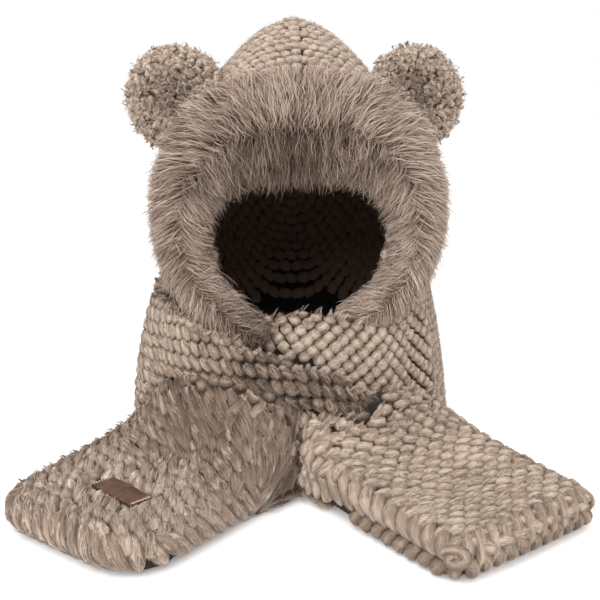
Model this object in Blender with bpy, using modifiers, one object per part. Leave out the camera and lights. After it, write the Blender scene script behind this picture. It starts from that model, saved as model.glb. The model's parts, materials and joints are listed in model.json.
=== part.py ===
# A knitted animal-ear hood with a fur face trim and a scarf that is wound once round the neck.
# It stands on the wound scarf, with both scarf ends laid out in front.
# Sizes are in metres and angles in degrees. Front is -Y and up is +Z. The origin is the middle
# of the neck opening, on the surface that the hood stands on.

import math
from collections import namedtuple

import bmesh
import bpy
from mathutils import Matrix, Vector

# Driving sizes
SEWN_GAP = 0.0005         # clearance between two pieces that are sewn or lie together
HOOD_RIM_HEIGHT = 0.100   # lower rim of the hood, inside the neck wrap
HOOD_HEIGHT = 0.303       # lower rim to peak
HOOD_WIDTH = 0.246
HOOD_DEPTH = 0.236
KNIT_WALL = 0.009         # one layer of chunky knit
SEAM_DEPTH = 0.0035       # the crown and nape seam, pulled into the knit
FACE_WIDTH = 0.206        # across the face, along the middle line of the fur
FUR_WIDTH = 0.092         # fur trim over the forehead, across its pile
FUR_DEPTH = 0.058         # fur trim over the forehead, front to back
LOCK_LENGTH = 0.012       # how far a lock of fur stands out of its backing
HOOD_TURN = 3.0           # the whole hood looks this much to the right of straight ahead
EAR_DIAMETER = 0.092
EAR_THICKNESS = 0.036
EAR_DISH = 0.007          # hollow in the front of an ear
EAR_SPREAD = 0.224        # centre to centre
EAR_HEIGHT = 0.235        # ear centre above the hood's rim
EAR_SET_BACK = -0.004     # ear centre behind the neck axis
EAR_TURN = 12.0           # each ear faces this much outwards
NECK_RADIUS = 0.1455      # neck axis to the middle of the wrap, at its foot
WRAP_HEIGHT = 0.165
WRAP_SET_IN = 0.021       # how far the wrap closes in from foot to top
BAND_THICKNESS = 0.013    # the wound scarf, one doubled layer
CREASE_DEPTH = 0.007      # a gather pulled into the wound scarf
SCARF_WIDTH = 0.166
END_THICKNESS = 0.029     # a scarf end, two padded layers
END_REACH = 0.168         # wrap to tip, on the surface
END_ANGLE = 37.5          # each end points this much away from straight ahead
END_SHIFT = 0.012         # the middle line of an end passes the neck axis this much nearer the front
FLEECE_CORNER = 0.036     # corner radius of the fleece end
RIBBED_CORNER = 0.017     # corner radius of the ribbed end
LAYER_GROOVE = 0.006      # groove between the two layers of the ribbed end
PATCH_LENGTH = 0.056
PATCH_WIDTH = 0.022
PATCH_THICKNESS = 0.002
PATCH_LIFT = 0.0018       # its top above the plain thickness of its end
PATCH_FROM_TIP = 0.058
PATCH_ASIDE = 0.008       # patch centre off the middle line of its end, towards the other end
PATCH_TURN = -7.5         # patch against the width of its end

# The hood from its rim to its peak. Height is a share of HOOD_HEIGHT, half_width of HOOD_WIDTH,
# front and back of HOOD_DEPTH.
HoodRow = namedtuple("HoodRow", "height half_width front back")
HOOD_ROWS = (
    HoodRow(0.000, 0.430, -0.440, 0.465),
    HoodRow(0.132, 0.440, -0.452, 0.472),
    HoodRow(0.250, 0.466, -0.452, 0.492),
    HoodRow(0.396, 0.498, -0.441, 0.540),
    HoodRow(0.528, 0.482, -0.415, 0.540),
    HoodRow(0.660, 0.425, -0.360, 0.512),
    HoodRow(0.759, 0.361, -0.293, 0.474),
    HoodRow(0.842, 0.287, -0.200, 0.424),
    HoodRow(0.921, 0.196, -0.085, 0.350),
    HoodRow(0.975, 0.117, 0.030, 0.266),
    HoodRow(1.000, 0.040, 0.108, 0.184),
)

# Folds pulled into the hood. Depth is a share of SEAM_DEPTH, low and high are shares of HOOD_HEIGHT.
FoldRow = namedtuple("FoldRow", "angle depth spread low high")
HOOD_FOLDS = (
    FoldRow(90, 1.00, 6, -0.10, 1.10),
    FoldRow(268, 0.60, 7, 0.72, 1.10),
    FoldRow(62, 0.90, 9, -0.10, 0.42),
    FoldRow(121, 0.90, 10, -0.10, 0.36),
    FoldRow(20, 0.70, 12, 0.05, 0.30),
    FoldRow(163, 0.70, 12, 0.05, 0.33),
)

# The fur trim from its tapered lower end up to the forehead, one side. Across is a share of half of
# FACE_WIDTH, height of HOOD_HEIGHT, width of FUR_WIDTH, depth of FUR_DEPTH. Out says how far the left
# side stands off the hood, in FUR_DEPTH, as its end lies over the wound scarf.
TrimRow = namedtuple("TrimRow", "across height width depth out")
TRIM_ROWS = (
    TrimRow(0.34, 0.135, 0.24, 0.26, 0.42),
    TrimRow(0.60, 0.188, 0.40, 0.46, 0.32),
    TrimRow(0.85, 0.257, 0.52, 0.68, 0.18),
    TrimRow(0.97, 0.353, 0.57, 0.80, 0.06),
    TrimRow(1.00, 0.462, 0.62, 0.84, 0.00),
    TrimRow(0.90, 0.580, 0.76, 0.90, 0.00),
    TrimRow(0.64, 0.672, 0.92, 0.98, 0.00),
    TrimRow(0.32, 0.710, 0.99, 1.00, 0.00),
    TrimRow(0.00, 0.720, 1.00, 1.00, 0.00),
)

# The scarf round the neck, from its hidden start at the front left, once round the neck, to the rolled
# band that crosses the front. Low and high are shares of WRAP_HEIGHT, and a low under 0 is pressed flat
# on the surface. Layer is the place of the band's inner face, in layers from the middle of the wrap, and
# thickness is a share of BAND_THICKNESS.
WrapRow = namedtuple("WrapRow", "angle low high layer thickness")
WRAP_ROWS = (
    WrapRow(-158, 0.06, 0.50, -1.00, 0.80),
    WrapRow(-140, -0.045, 0.66, -1.00, 1.00),
    WrapRow(-118, -0.045, 0.86, -1.00, 1.00),
    WrapRow(-90, -0.045, 0.930, -1.00, 1.00),
    WrapRow(-70, -0.045, 0.905, -0.95, 1.00),
    WrapRow(-54, -0.045, 0.870, -0.85, 1.00),
    WrapRow(-42, -0.045, 0.920, -0.70, 1.00),
    WrapRow(-30, -0.045, 1.010, -0.58, 1.00),
    WrapRow(10, -0.045, 1.03, -0.50, 1.00),
    WrapRow(50, -0.045, 1.06, -0.50, 1.00),
    WrapRow(90, -0.045, 1.08, -0.50, 1.00),
    WrapRow(130, -0.045, 1.06, -0.50, 1.00),
    WrapRow(160, -0.045, 1.03, -0.45, 1.00),
    WrapRow(182, -0.045, 0.99, -0.30, 1.05),
    WrapRow(197, 0.10, 0.96, 0.05, 1.20),
    WrapRow(211, 0.40, 0.93, 0.12, 1.45),
    WrapRow(225, 0.57, 0.90, 0.12, 1.65),
    WrapRow(239, 0.61, 0.86, 0.12, 1.80),
    WrapRow(252, 0.60, 0.81, 0.12, 1.85),
    WrapRow(264, 0.56, 0.75, 0.12, 1.85),
    WrapRow(275, 0.50, 0.69, 0.12, 1.80),
    WrapRow(286, 0.43, 0.60, 0.12, 1.55),
    WrapRow(295, 0.38, 0.51, 0.12, 1.05),
    WrapRow(303, 0.35, 0.44, 0.12, 0.60),
)

# Gathers in the wound scarf. Angle is where one crosses half the height of the wrap, lean how many
# degrees it moves on by the top, and depth a share of CREASE_DEPTH.
CreaseRow = namedtuple("CreaseRow", "angle lean spread depth")
WRAP_CREASES = (
    CreaseRow(-42, 14, 6, 0.60),
    CreaseRow(-8, -10, 7, 0.70),
    CreaseRow(32, 12, 8, 0.80),
    CreaseRow(75, -8, 7, 0.70),
    CreaseRow(112, 14, 8, 1.00),
    CreaseRow(150, -12, 7, 0.80),
    CreaseRow(186, 16, 7, 0.80),
    CreaseRow(214, 18, 6, 0.70),
)

# A scarf end from its root under the crossing band to where its tip begins to round. Out is a share of
# END_REACH. Lift, inner and outer are the heights of its underside along its middle and its two edges,
# as shares of WRAP_HEIGHT, and inner is the edge beside the other end. Thickness is of END_THICKNESS
# and width of SCARF_WIDTH. Follow says how much it still lies round the neck, and hem how far the lower
# layer hangs down to the surface at its edges.
EndRow = namedtuple("EndRow", "out lift inner outer thickness width follow hem")
END_ROWS = (
    EndRow(0.060, 0.480, 0.400, 0.200, 0.36, 1.00, 1.00, 1.00),
    EndRow(0.075, 0.350, 0.310, 0.185, 0.55, 1.02, 1.00, 1.00),
    EndRow(0.105, 0.235, 0.230, 0.170, 0.70, 1.02, 0.95, 0.90),
    EndRow(0.165, 0.145, 0.160, 0.140, 0.80, 1.01, 0.85, 0.75),
    EndRow(0.280, 0.080, 0.100, 0.100, 0.88, 1.00, 0.50, 0.60),
    EndRow(0.440, 0.035, 0.055, 0.062, 0.94, 1.00, 0.22, 0.50),
    EndRow(0.620, 0.008, 0.025, 0.032, 0.98, 1.00, 0.05, 0.40),
    EndRow(0.820, 0.000, 0.008, 0.010, 1.00, 1.00, 0.00, 0.30),
    EndRow(1.000, 0.000, 0.000, 0.000, 1.00, 1.00, 0.00, 0.30),
)

# Dents and humps in the top of a scarf end. Across goes from -1 at its outer edge to 1 at the edge
# beside the other end, out is a share of END_REACH, and rise a share of END_THICKNESS.
EndFold = namedtuple("EndFold", "across out rise wide long")
FLEECE_FOLDS = (
    EndFold(0.30, 0.06, 0.75, 0.75, 0.05),
    EndFold(0.02, 0.18, -0.45, 0.24, 0.10),
    EndFold(0.72, 0.14, 0.45, 0.26, 0.14),
    EndFold(-0.46, 0.14, 0.25, 0.28, 0.12),
)
RIBBED_FOLDS = (
    EndFold(0.84, 0.45, 0.16, 0.16, 0.45),
    EndFold(0.25, 0.50, -0.22, 0.34, 0.40),
    EndFold(-0.82, 0.60, 0.10, 0.16, 0.40),
    EndFold(0.60, 0.08, 0.14, 0.30, 0.10),
)

HOOD_AROUND = 40
HOOD_RINGS = 17
HOOD_SQUARENESS = 2.25
FUR_AROUND = 14
FUR_STATIONS = 38
BAND_AROUND = 16
BAND_STATIONS = 50
END_AROUND = 24
END_STATIONS = 13
TIP_STATIONS = 6


def clear_scene():
    for thing in list(bpy.data.objects):
        bpy.data.objects.remove(thing, do_unlink=True)


def new_collection(name):
    group = bpy.data.collections.new(name)
    bpy.context.scene.collection.children.link(group)
    return group


def cloth_material(name, colour, roughness):
    made = bpy.data.materials.new(name)
    made.use_nodes = True
    shader = made.node_tree.nodes["Principled BSDF"]
    shader.inputs["Base Color"].default_value = (*colour, 1.0)
    shader.inputs["Roughness"].default_value = roughness
    shader.inputs["Metallic"].default_value = 0.0
    return made


def signed_power(value, power):
    return math.copysign(abs(value) ** power, value)


def row_between(rows, place):
    """The row at a place between 0 and the last row's number, on a smooth curve through the rows."""
    first = min(int(place), len(rows) - 2)
    t = place - first
    before = rows[max(first - 1, 0)]
    start, end = rows[first], rows[first + 1]
    after = rows[min(first + 2, len(rows) - 1)]
    values = []
    for a, b, c, d in zip(before, start, end, after):
        pull_in, pull_out = (c - a) / 2, (d - b) / 2
        values.append(
            b
            + pull_in * t
            + (3 * (c - b) - 2 * pull_in - pull_out) * t**2
            + (2 * (b - c) + pull_in + pull_out) * t**3
        )
    return type(start)(*values)


def spread_rows(rows, count):
    return [row_between(rows, (len(rows) - 1) * k / (count - 1)) for k in range(count)]


def finished(name, bm, group, material=None):
    """Makes the mesh an object, smooth, with its normals out."""
    bmesh.ops.recalc_face_normals(bm, faces=bm.faces)
    mesh = bpy.data.meshes.new(name)
    bm.to_mesh(mesh)
    bm.free()
    mesh.shade_smooth()
    made = bpy.data.objects.new(name, mesh)
    group.objects.link(made)
    if material:
        mesh.materials.append(material)
    else:
        made.hide_render = True
        made.display_type = "WIRE"
    return made


def loft(bm, loops, close_start, close_end):
    """Joins closed loops of points by quads, and closes an end with strips from side to side."""
    rings = [[bm.verts.new(point) for point in loop] for loop in loops]
    count = len(rings[0])
    for ring, following in zip(rings, rings[1:]):
        for k in range(count):
            after = (k + 1) % count
            bm.faces.new((ring[k], ring[after], following[after], following[k]))
    for ring, closed in ((rings[0], close_start), (rings[-1], close_end)):
        if closed:
            for k in range(count // 2):
                strip = (ring[k], ring[k + 1], ring[count - k - 1], ring[-k])
                bm.faces.new(list(dict.fromkeys(strip)))
    return rings


def cut(piece, cutter):
    """Takes the cutter out of the piece for good, so that later cuts act on the result."""
    modifier = piece.modifiers.new("cut_" + cutter.name, "BOOLEAN")
    modifier.operation = "DIFFERENCE"
    modifier.solver = "EXACT"
    modifier.object = cutter
    graph = bpy.context.evaluated_depsgraph_get()
    result = bpy.data.meshes.new_from_object(piece.evaluated_get(graph))
    piece.modifiers.clear()
    piece.data = result
    drop_crumbs(result)
    result.shade_smooth()
    result.set_sharp_from_angle(angle=math.radians(50))


def drop_crumbs(mesh):
    """Keeps the largest body, as a cut may leave bits of a lock behind."""
    bm = bmesh.new()
    bm.from_mesh(mesh)
    waiting, bodies = set(bm.verts), []
    while waiting:
        body, edge = set(), [waiting.pop()]
        while edge:
            vert = edge.pop()
            body.add(vert)
            near = {link.other_vert(vert) for link in vert.link_edges} & waiting
            waiting -= near
            edge.extend(near)
        bodies.append(body)
    largest = max(bodies, key=len)
    bmesh.ops.delete(bm, geom=[v for v in bm.verts if v not in largest], context="VERTS")
    bm.to_mesh(mesh)
    bm.free()


# The hood


def fold_depth(angle, height):
    total = 0.0
    for fold in HOOD_FOLDS:
        if fold.low <= height <= fold.high:
            aside = (angle - fold.angle + 180) % 360 - 180
            rise = min(height - fold.low, fold.high - height) / (0.3 * (fold.high - fold.low))
            total += SEAM_DEPTH * fold.depth * math.exp(-((aside / fold.spread) ** 2)) * min(1.0, rise)
    return total


def hood_point(row, angle, outset):
    turn = math.radians(angle)
    middle = HOOD_DEPTH * (row.front + row.back) / 2
    depth = HOOD_DEPTH * (row.back - row.front) / 2 + outset
    width = HOOD_WIDTH * row.half_width + outset
    power = 2 / HOOD_SQUARENESS
    across = signed_power(math.cos(turn), power)
    along = signed_power(math.sin(turn), power)
    pulled = fold_depth(angle, row.height)
    reach = math.hypot(width * across, depth * along)
    share = 1 - min(pulled / reach, 0.35)
    return Vector((width * across * share, middle + depth * along * share, HOOD_RIM_HEIGHT + HOOD_HEIGHT * row.height))


def hood_loops(outset):
    angles = [360 * k / HOOD_AROUND for k in range(HOOD_AROUND)]
    loops = [[hood_point(row, a, outset) for a in angles] for row in spread_rows(HOOD_ROWS, HOOD_RINGS)]
    if outset:
        for point in loops[0]:
            point.z -= outset
        for point in loops[-1]:
            point.z += outset
    return loops


def hood_front(across, height):
    """Where the front of the hood is, at a place across and above its rim."""
    place = 0.0
    while place < len(HOOD_ROWS) - 1 and row_between(HOOD_ROWS, place).height * HOOD_HEIGHT < height:
        place += 0.02
    row = row_between(HOOD_ROWS, min(place, len(HOOD_ROWS) - 1))
    share = min(abs(across) / (HOOD_WIDTH * row.half_width), 0.98)
    middle = HOOD_DEPTH * (row.front + row.back) / 2
    depth = HOOD_DEPTH * (row.back - row.front) / 2
    return middle - depth * (1 - share**HOOD_SQUARENESS) ** (1 / HOOD_SQUARENESS)


def turn_hood(bm):
    """Everything sewn to the hood is made looking straight ahead and then turned with it."""
    bmesh.ops.rotate(bm, cent=(0, 0, 0), matrix=Matrix.Rotation(math.radians(HOOD_TURN), 3, "Z"), verts=bm.verts)


def hood_envelope(group):
    bm = bmesh.new()
    loft(bm, hood_loops(SEWN_GAP), True, True)
    turn_hood(bm)
    return finished("hood_envelope", bm, group)


def face_outline():
    """The edge of the knit round the face, a little inside the middle line of the fur."""
    inset = 0.10 * FUR_WIDTH
    middle_height = HOOD_HEIGHT * TRIM_ROWS[4].height
    points = []
    for row in spread_rows(TRIM_ROWS, 13):
        across = FACE_WIDTH / 2 * row.across
        height = HOOD_HEIGHT * row.height
        away = Vector((across, height - middle_height))
        place = Vector((across, height)) - away.normalized() * inset
        points.append((max(place.x, 0.0), place.y))
    below = (points[0][0], -KNIT_WALL)
    right = [below] + points
    return right + [(-x, z) for x, z in reversed(right[:-1])]


def face_cutter(group):
    bm = bmesh.new()
    outline = face_outline()
    near = -HOOD_DEPTH
    loops = [[Vector((x, y, HOOD_RIM_HEIGHT + z)) for x, z in outline] for y in (near, 0.0)]
    sides = [[bm.verts.new(point) for point in loop] for loop in loops]
    count = len(outline)
    for k in range(count):
        after = (k + 1) % count
        bm.faces.new((sides[0][k], sides[0][after], sides[1][after], sides[1][k]))
    bm.faces.new(sides[0])
    bm.faces.new(sides[1])
    turn_hood(bm)
    return finished("face_cutter", bm, group)


def make_hood(group, helpers, material):
    bm = bmesh.new()
    loft(bm, hood_loops(0.0), False, True)
    turn_hood(bm)
    hood = finished("hood", bm, group, material)
    wall = hood.modifiers.new("wall", "SOLIDIFY")
    wall.thickness = KNIT_WALL
    wall.offset = -1
    cut(hood, face_cutter(helpers))
    return hood


# The fur trim


def trim_path():
    """The middle line of the fur with its half width and half depth, from lower left round to lower right."""
    half = spread_rows(TRIM_ROWS, FUR_STATIONS // 2 + 1)
    path = []
    for side, rows in ((-1, half), (1, half[-2::-1])):
        for row in rows:
            across = side * FACE_WIDTH / 2 * row.across
            height = HOOD_HEIGHT * row.height
            width = FUR_WIDTH / 2 * row.width
            depth = FUR_DEPTH / 2 * row.depth
            out = hood_front(across, height) - 0.45 * depth
            if side < 0:
                out -= FUR_DEPTH * row.out
            path.append((Vector((across, out, HOOD_RIM_HEIGHT + height)), width, depth))
    return path


def make_fur_trim(group, material):
    """A backing tube round the face whose front carries locks, combed away from its middle line."""
    path = trim_path()
    bm = bmesh.new()
    loops, combs = [], []
    for k, (centre, width, depth) in enumerate(path):
        ahead = path[min(k + 1, len(path) - 1)][0] - path[max(k - 1, 0)][0]
        outward = Vector((-ahead.z, 0, ahead.x)).normalized()
        forward = Vector((0, -1, 0))
        body = 1 - 0.4 * lock_reach(width) / width
        loop = []
        for j in range(FUR_AROUND):
            turn = 2 * math.pi * j / FUR_AROUND
            loop.append(centre + outward * width * body * math.cos(turn) + forward * depth * body * math.sin(turn))
        loops.append(loop)
        combs.append(outward)
    rings = loft(bm, loops, True, True)
    grow_locks(bm, rings, path, combs)
    turn_hood(bm)
    return finished("fur_trim", bm, group, material)


def lock_reach(width):
    return LOCK_LENGTH * min(1.0, 2.6 * width / FUR_WIDTH)


def grow_locks(bm, rings, path, combs):
    """Draws every other face of the tube's front out into a tapered lock."""
    for k in range(len(rings) - 1):
        centre, width, depth = path[k]
        if centre.x > 0 and centre.z < HOOD_RIM_HEIGHT + 0.26 * HOOD_HEIGHT:
            continue
        for j in range(FUR_AROUND // 2):
            if (k + j) % 2:
                continue
            corners = {rings[k][j], rings[k][j + 1], rings[k + 1][j], rings[k + 1][j + 1]}
            face = next(f for f in rings[k][j].link_faces if set(f.verts) == corners)
            turn = 2 * math.pi * (j + 0.5) / FUR_AROUND
            comb = combs[k] * math.copysign(1.0, math.cos(turn))
            normal = combs[k] * math.cos(turn) + Vector((0, -1, 0)) * math.sin(turn)
            lean = normal + comb * 0.9 * max(0.0, math.sin(turn))
            middle = face.calc_center_median()
            grown = bmesh.ops.extrude_discrete_faces(bm, faces=[face])["faces"][0]
            for vert in grown.verts:
                vert.co = middle + lean.normalized() * lock_reach(width) + (vert.co - middle) * 0.22


# The ears


def make_ear(name, side, group, material):
    """A stuffed disc with a rounded rim and a dished front, turned a little outwards."""
    bm = bmesh.new()
    bmesh.ops.create_uvsphere(bm, u_segments=26, v_segments=13, radius=1.0)
    for vert in bm.verts:
        x, y, z = vert.co.x, vert.co.z, vert.co.y
        from_middle = min(1.0, math.hypot(x, z))
        y = signed_power(y, 0.8) * EAR_THICKNESS / 2
        if y < 0:
            y += EAR_DISH * (1 - from_middle**2) ** 2 * 1.6
        vert.co = Vector((x * EAR_DIAMETER / 2, y, z * EAR_DIAMETER / 2))
    place = Vector((side * EAR_SPREAD / 2, EAR_SET_BACK, HOOD_RIM_HEIGHT + EAR_HEIGHT))
    turn = Matrix.Rotation(math.radians(side * EAR_TURN), 4, "Z")
    bmesh.ops.transform(bm, matrix=Matrix.Translation(place) @ turn, verts=bm.verts)
    turn_hood(bm)
    return finished(name, bm, group, material)


# The scarf round the neck


def wrap_radius(height):
    """The middle of the wrap at a height above the surface."""
    return NECK_RADIUS - WRAP_SET_IN * (max(height, 0.0) / WRAP_HEIGHT) ** 1.9


def crease_depth(angle, height):
    total = 0.0
    for crease in WRAP_CREASES:
        aside = angle - crease.angle - crease.lean * (height / WRAP_HEIGHT - 0.5)
        total += CREASE_DEPTH * crease.depth * math.exp(-((aside / crease.spread) ** 2))
    return total


def wrap_loops(outset, beyond):
    """Beyond is how much further out a layer reaches where the right end of the fur is tucked in."""
    loops = []
    rows = spread_rows(WRAP_ROWS, BAND_STATIONS)
    for number, row in enumerate(rows):
        turn = math.radians(row.angle)
        low = WRAP_HEIGHT * row.low
        half_height = (WRAP_HEIGHT * row.high - low) / 2
        half_thickness = BAND_THICKNESS * row.thickness / 2
        loop = []
        for k in range(BAND_AROUND):
            around = 2 * math.pi * k / BAND_AROUND
            rise = signed_power(math.sin(around), 0.85) * (half_height + outset)
            height = low + half_height + rise
            inner = wrap_radius(height) + row.layer * (BAND_THICKNESS + SEWN_GAP)
            outwards = signed_power(math.cos(around), 0.6)
            radius = inner + half_thickness + outwards * (half_thickness + outset)
            if -84 < row.angle < 60:
                radius += beyond * max(0.0, outwards)
            radius -= crease_depth(row.angle, height) * max(0.0, outwards)
            sideways = outset * (-1 if number == 0 else 1 if number == len(rows) - 1 else 0)
            at = turn + sideways / radius
            loop.append(Vector((radius * math.cos(at), radius * math.sin(at), max(height, -outset))))
        loops.append(loop)
    return loops


def make_wrap(name, group, material, outset, beyond):
    bm = bmesh.new()
    loft(bm, wrap_loops(outset, beyond), True, True)
    return finished(name, bm, group, material)


# The scarf ends


def end_frame(side):
    """The way an end points, and the way across it towards the other end."""
    turn = math.radians(END_ANGLE)
    forward = Vector((side * math.sin(turn), -math.cos(turn), 0))
    return forward, Vector((-side * math.cos(turn), -math.sin(turn), 0))


def end_rows(corner):
    """The rows of an end, followed by those that round its tip."""
    tip_start = 1 - corner / END_REACH
    body = [row for row in spread_rows(END_ROWS, END_STATIONS) if row.out < tip_start - 0.02]
    tip = []
    for k in range(TIP_STATIONS):
        around = math.radians(90 * k / (TIP_STATIONS - 0.55))
        out = tip_start + (1 - tip_start) * math.sin(around)
        narrowing = corner * (1 - math.cos(around)) * 2 / SCARF_WIDTH
        past = max(0.0, 1 - (1 - out) * END_REACH / (0.5 * END_THICKNESS))
        thickness = math.sqrt(1 - 0.72 * past**2)
        tip.append(END_ROWS[-1]._replace(out=out, width=1 - narrowing, thickness=thickness))
    return body + tip


def half_width(row, across):
    """Half the width of an end, less where it would run into the other end."""
    half = SCARF_WIDTH / 2 * row.width
    if across < 0:
        return half
    bend = NECK_RADIUS - math.sqrt(NECK_RADIUS**2 - (END_SHIFT + half) ** 2)
    out = NECK_RADIUS + END_REACH * row.out - bend * row.follow
    room = out * math.tan(math.radians(END_ANGLE)) - END_SHIFT
    return min(half, room)


def end_middle(row, across, folds):
    """A point half way through an end: how far out it is and how high, at a share of the way across."""
    thickness = END_THICKNESS * row.thickness
    aside = END_SHIFT + across * half_width(row, across)
    bend = NECK_RADIUS - math.sqrt(NECK_RADIUS**2 - aside**2)
    edge = row.inner if across > 0 else row.outer
    height = WRAP_HEIGHT * (row.lift + (edge - row.lift) * abs(across) ** 1.8) + thickness / 2
    rise = sum(
        fold.rise
        * math.exp(-(((across - fold.across) / fold.wide) ** 2) - ((row.out - fold.out) / fold.long) ** 2)
        for fold in folds
    )
    return NECK_RADIUS + END_REACH * row.out - bend * row.follow, aside, height, END_THICKNESS * rise


def make_end(name, side, corner, groove, folds, group, material):
    rows = end_rows(corner)
    forward, sideways = end_frame(side)
    bm = bmesh.new()
    loops = []
    for number, row in enumerate(rows):
        behind, ahead = rows[max(number - 1, 0)], rows[min(number + 1, len(rows) - 1)]
        loop = []
        for k in range(END_AROUND):
            around = 2 * math.pi * k / END_AROUND
            across = signed_power(math.cos(around), 0.55)
            up = signed_power(math.sin(around), 0.62 if math.sin(around) > 0 else 0.40)
            out, aside, height, rise = end_middle(row, across, folds)
            first, last = end_middle(behind, across, folds), end_middle(ahead, across, folds)
            slope = Vector((last[0] - first[0], last[2] - first[2])).normalized()
            reach = END_THICKNESS * row.thickness / 2 * up
            pinch = groove * math.exp(-((up / 0.35) ** 2)) * min(1.0, row.out * 3)
            out -= slope.y * reach
            height += slope.x * reach + rise * max(up, min(1.0, 3.5 - 30 * row.out), 0.0)
            if up < 0:
                height *= 1 - row.hem * min(1.0, 1.6 * abs(across) ** 5) * min(1.0, -1.4 * up)
            aside -= math.copysign(pinch * abs(across) ** 6, across)
            place = forward * out + sideways * aside
            place.x = side * max(side * place.x, SEWN_GAP)
            place.z = max(height, 0.0)
            loop.append(place)
        loops.append(loop)
    loft(bm, loops, True, True)
    return finished(name, bm, group, material)


def make_patch(name, side, group, material, outset):
    """The leather patch, laid into the pile of the fleece end."""
    bm = bmesh.new()
    bmesh.ops.create_cube(bm, size=1.0)
    forward, sideways = end_frame(side)
    size = (PATCH_LENGTH + 2 * outset, PATCH_WIDTH + 2 * outset, PATCH_THICKNESS + 2 * outset)
    bmesh.ops.scale(bm, vec=size, verts=bm.verts)
    out = NECK_RADIUS + END_REACH - PATCH_FROM_TIP
    top = END_THICKNESS + PATCH_LIFT - PATCH_THICKNESS / 2
    place = forward * out + sideways * (END_SHIFT + PATCH_ASIDE) + Vector((0, 0, top))
    heading = math.atan2(sideways.y, sideways.x) + math.radians(PATCH_TURN)
    matrix = Matrix.Translation(place) @ Matrix.Rotation(heading, 4, "Z")
    bmesh.ops.transform(bm, matrix=matrix, verts=bm.verts)
    return finished(name, bm, group, material)


def build():
    clear_scene()
    group = new_collection("animal_hood_scarf")
    helpers = new_collection("cutters")
    knit = cloth_material("knit", (0.40, 0.31, 0.25), 0.9)
    plush = cloth_material("plush", (0.33, 0.25, 0.20), 0.95)
    fur = cloth_material("fur", (0.27, 0.20, 0.16), 0.85)
    fleece = cloth_material("fleece", (0.43, 0.33, 0.26), 0.95)
    leather = cloth_material("leather", (0.12, 0.06, 0.04), 0.5)

    envelope = hood_envelope(helpers)
    make_hood(group, helpers, knit)
    wrap = make_wrap("neck_wrap", group, knit, 0.0, 0.0)
    cut(wrap, envelope)
    wrap_space = make_wrap("wrap_space", helpers, None, SEWN_GAP, 0.0)
    trim = make_fur_trim(group, fur)
    cut(trim, envelope)
    cut(trim, make_wrap("fur_space", helpers, None, SEWN_GAP, FUR_DEPTH))
    for name, side in (("ear_left", -1), ("ear_right", 1)):
        cut(make_ear(name, side, group, plush), envelope)
    fleece_end = make_end("fleece_end", -1, FLEECE_CORNER, 0.0, FLEECE_FOLDS, group, fleece)
    ribbed_end = make_end("ribbed_end", 1, RIBBED_CORNER, LAYER_GROOVE, RIBBED_FOLDS, group, knit)
    for end in (fleece_end, ribbed_end):
        cut(end, wrap_space)
    make_patch("leather_patch", -1, group, leather, 0.0)
    cut(fleece_end, make_patch("patch_space", -1, helpers, None, SEWN_GAP))


build()
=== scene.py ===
# Animal hood scarf: the dressed scene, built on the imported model's frame.
import json
import math

import bpy
import numpy as np
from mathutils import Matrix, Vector
from mathutils.bvhtree import BVHTree

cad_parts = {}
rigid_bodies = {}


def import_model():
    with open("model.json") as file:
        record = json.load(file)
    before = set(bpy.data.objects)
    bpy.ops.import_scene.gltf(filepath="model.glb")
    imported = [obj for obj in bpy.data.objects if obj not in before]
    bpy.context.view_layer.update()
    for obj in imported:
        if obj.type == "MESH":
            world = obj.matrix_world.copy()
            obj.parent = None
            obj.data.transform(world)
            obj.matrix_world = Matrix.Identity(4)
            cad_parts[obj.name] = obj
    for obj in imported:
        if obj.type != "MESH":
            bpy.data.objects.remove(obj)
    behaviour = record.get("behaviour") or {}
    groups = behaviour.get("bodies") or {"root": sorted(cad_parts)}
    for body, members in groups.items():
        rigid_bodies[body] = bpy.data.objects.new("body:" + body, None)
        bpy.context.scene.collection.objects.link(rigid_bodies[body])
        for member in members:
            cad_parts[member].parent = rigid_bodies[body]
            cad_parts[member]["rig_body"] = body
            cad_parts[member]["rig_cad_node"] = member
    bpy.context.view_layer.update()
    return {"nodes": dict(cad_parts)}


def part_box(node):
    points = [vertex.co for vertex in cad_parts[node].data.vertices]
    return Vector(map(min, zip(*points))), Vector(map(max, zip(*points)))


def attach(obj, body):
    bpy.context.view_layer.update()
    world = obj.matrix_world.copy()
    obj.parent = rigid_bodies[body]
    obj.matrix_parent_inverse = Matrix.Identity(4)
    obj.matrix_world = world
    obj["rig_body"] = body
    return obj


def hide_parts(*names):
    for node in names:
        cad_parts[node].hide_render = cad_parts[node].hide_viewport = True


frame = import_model()
bpy.ops.object.select_all(action="DESELECT")
chance = np.random.default_rng(11)
upward = np.array([0.0, 0.0, 1.0])
print("frame loaded")


# Arrays and meshes

def unit(v):
    return v / np.maximum(np.linalg.norm(v, axis=-1, keepdims=True), 1e-9)


def perPlace(tone, count):  # one tone for each place, from one value or from many
    return np.broadcast_to(np.reshape(tone, (-1, 1)), (count, 1))


def runOf(line):  # the distance of each point along a line
    return np.concatenate([[0], np.cumsum(np.linalg.norm(np.diff(line, axis=0), axis=1))])


def spotsOn(line, run, at):  # points of a line at given distances along it
    return np.stack([np.interp(at, run, line[:, i]) for i in range(3)], axis=-1)


def stepsOn(paths, rows, at):  # points of chosen paths at given step numbers
    low = np.minimum(at.astype(int), paths.shape[1] - 2)
    part = (at - low)[..., None]
    return paths[rows, low] * (1 - part) + paths[rows, low + 1] * part


def linear(r, g, b):  # a colour from 0 to 255 as seen, made linear
    seen = np.array([r, g, b]) / 255
    light = np.where(seen <= 0.04045, seen / 12.92, ((seen + 0.055) / 1.055) ** 2.4)
    return (float(light[0]), float(light[1]), float(light[2]), 1.0)


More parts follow.
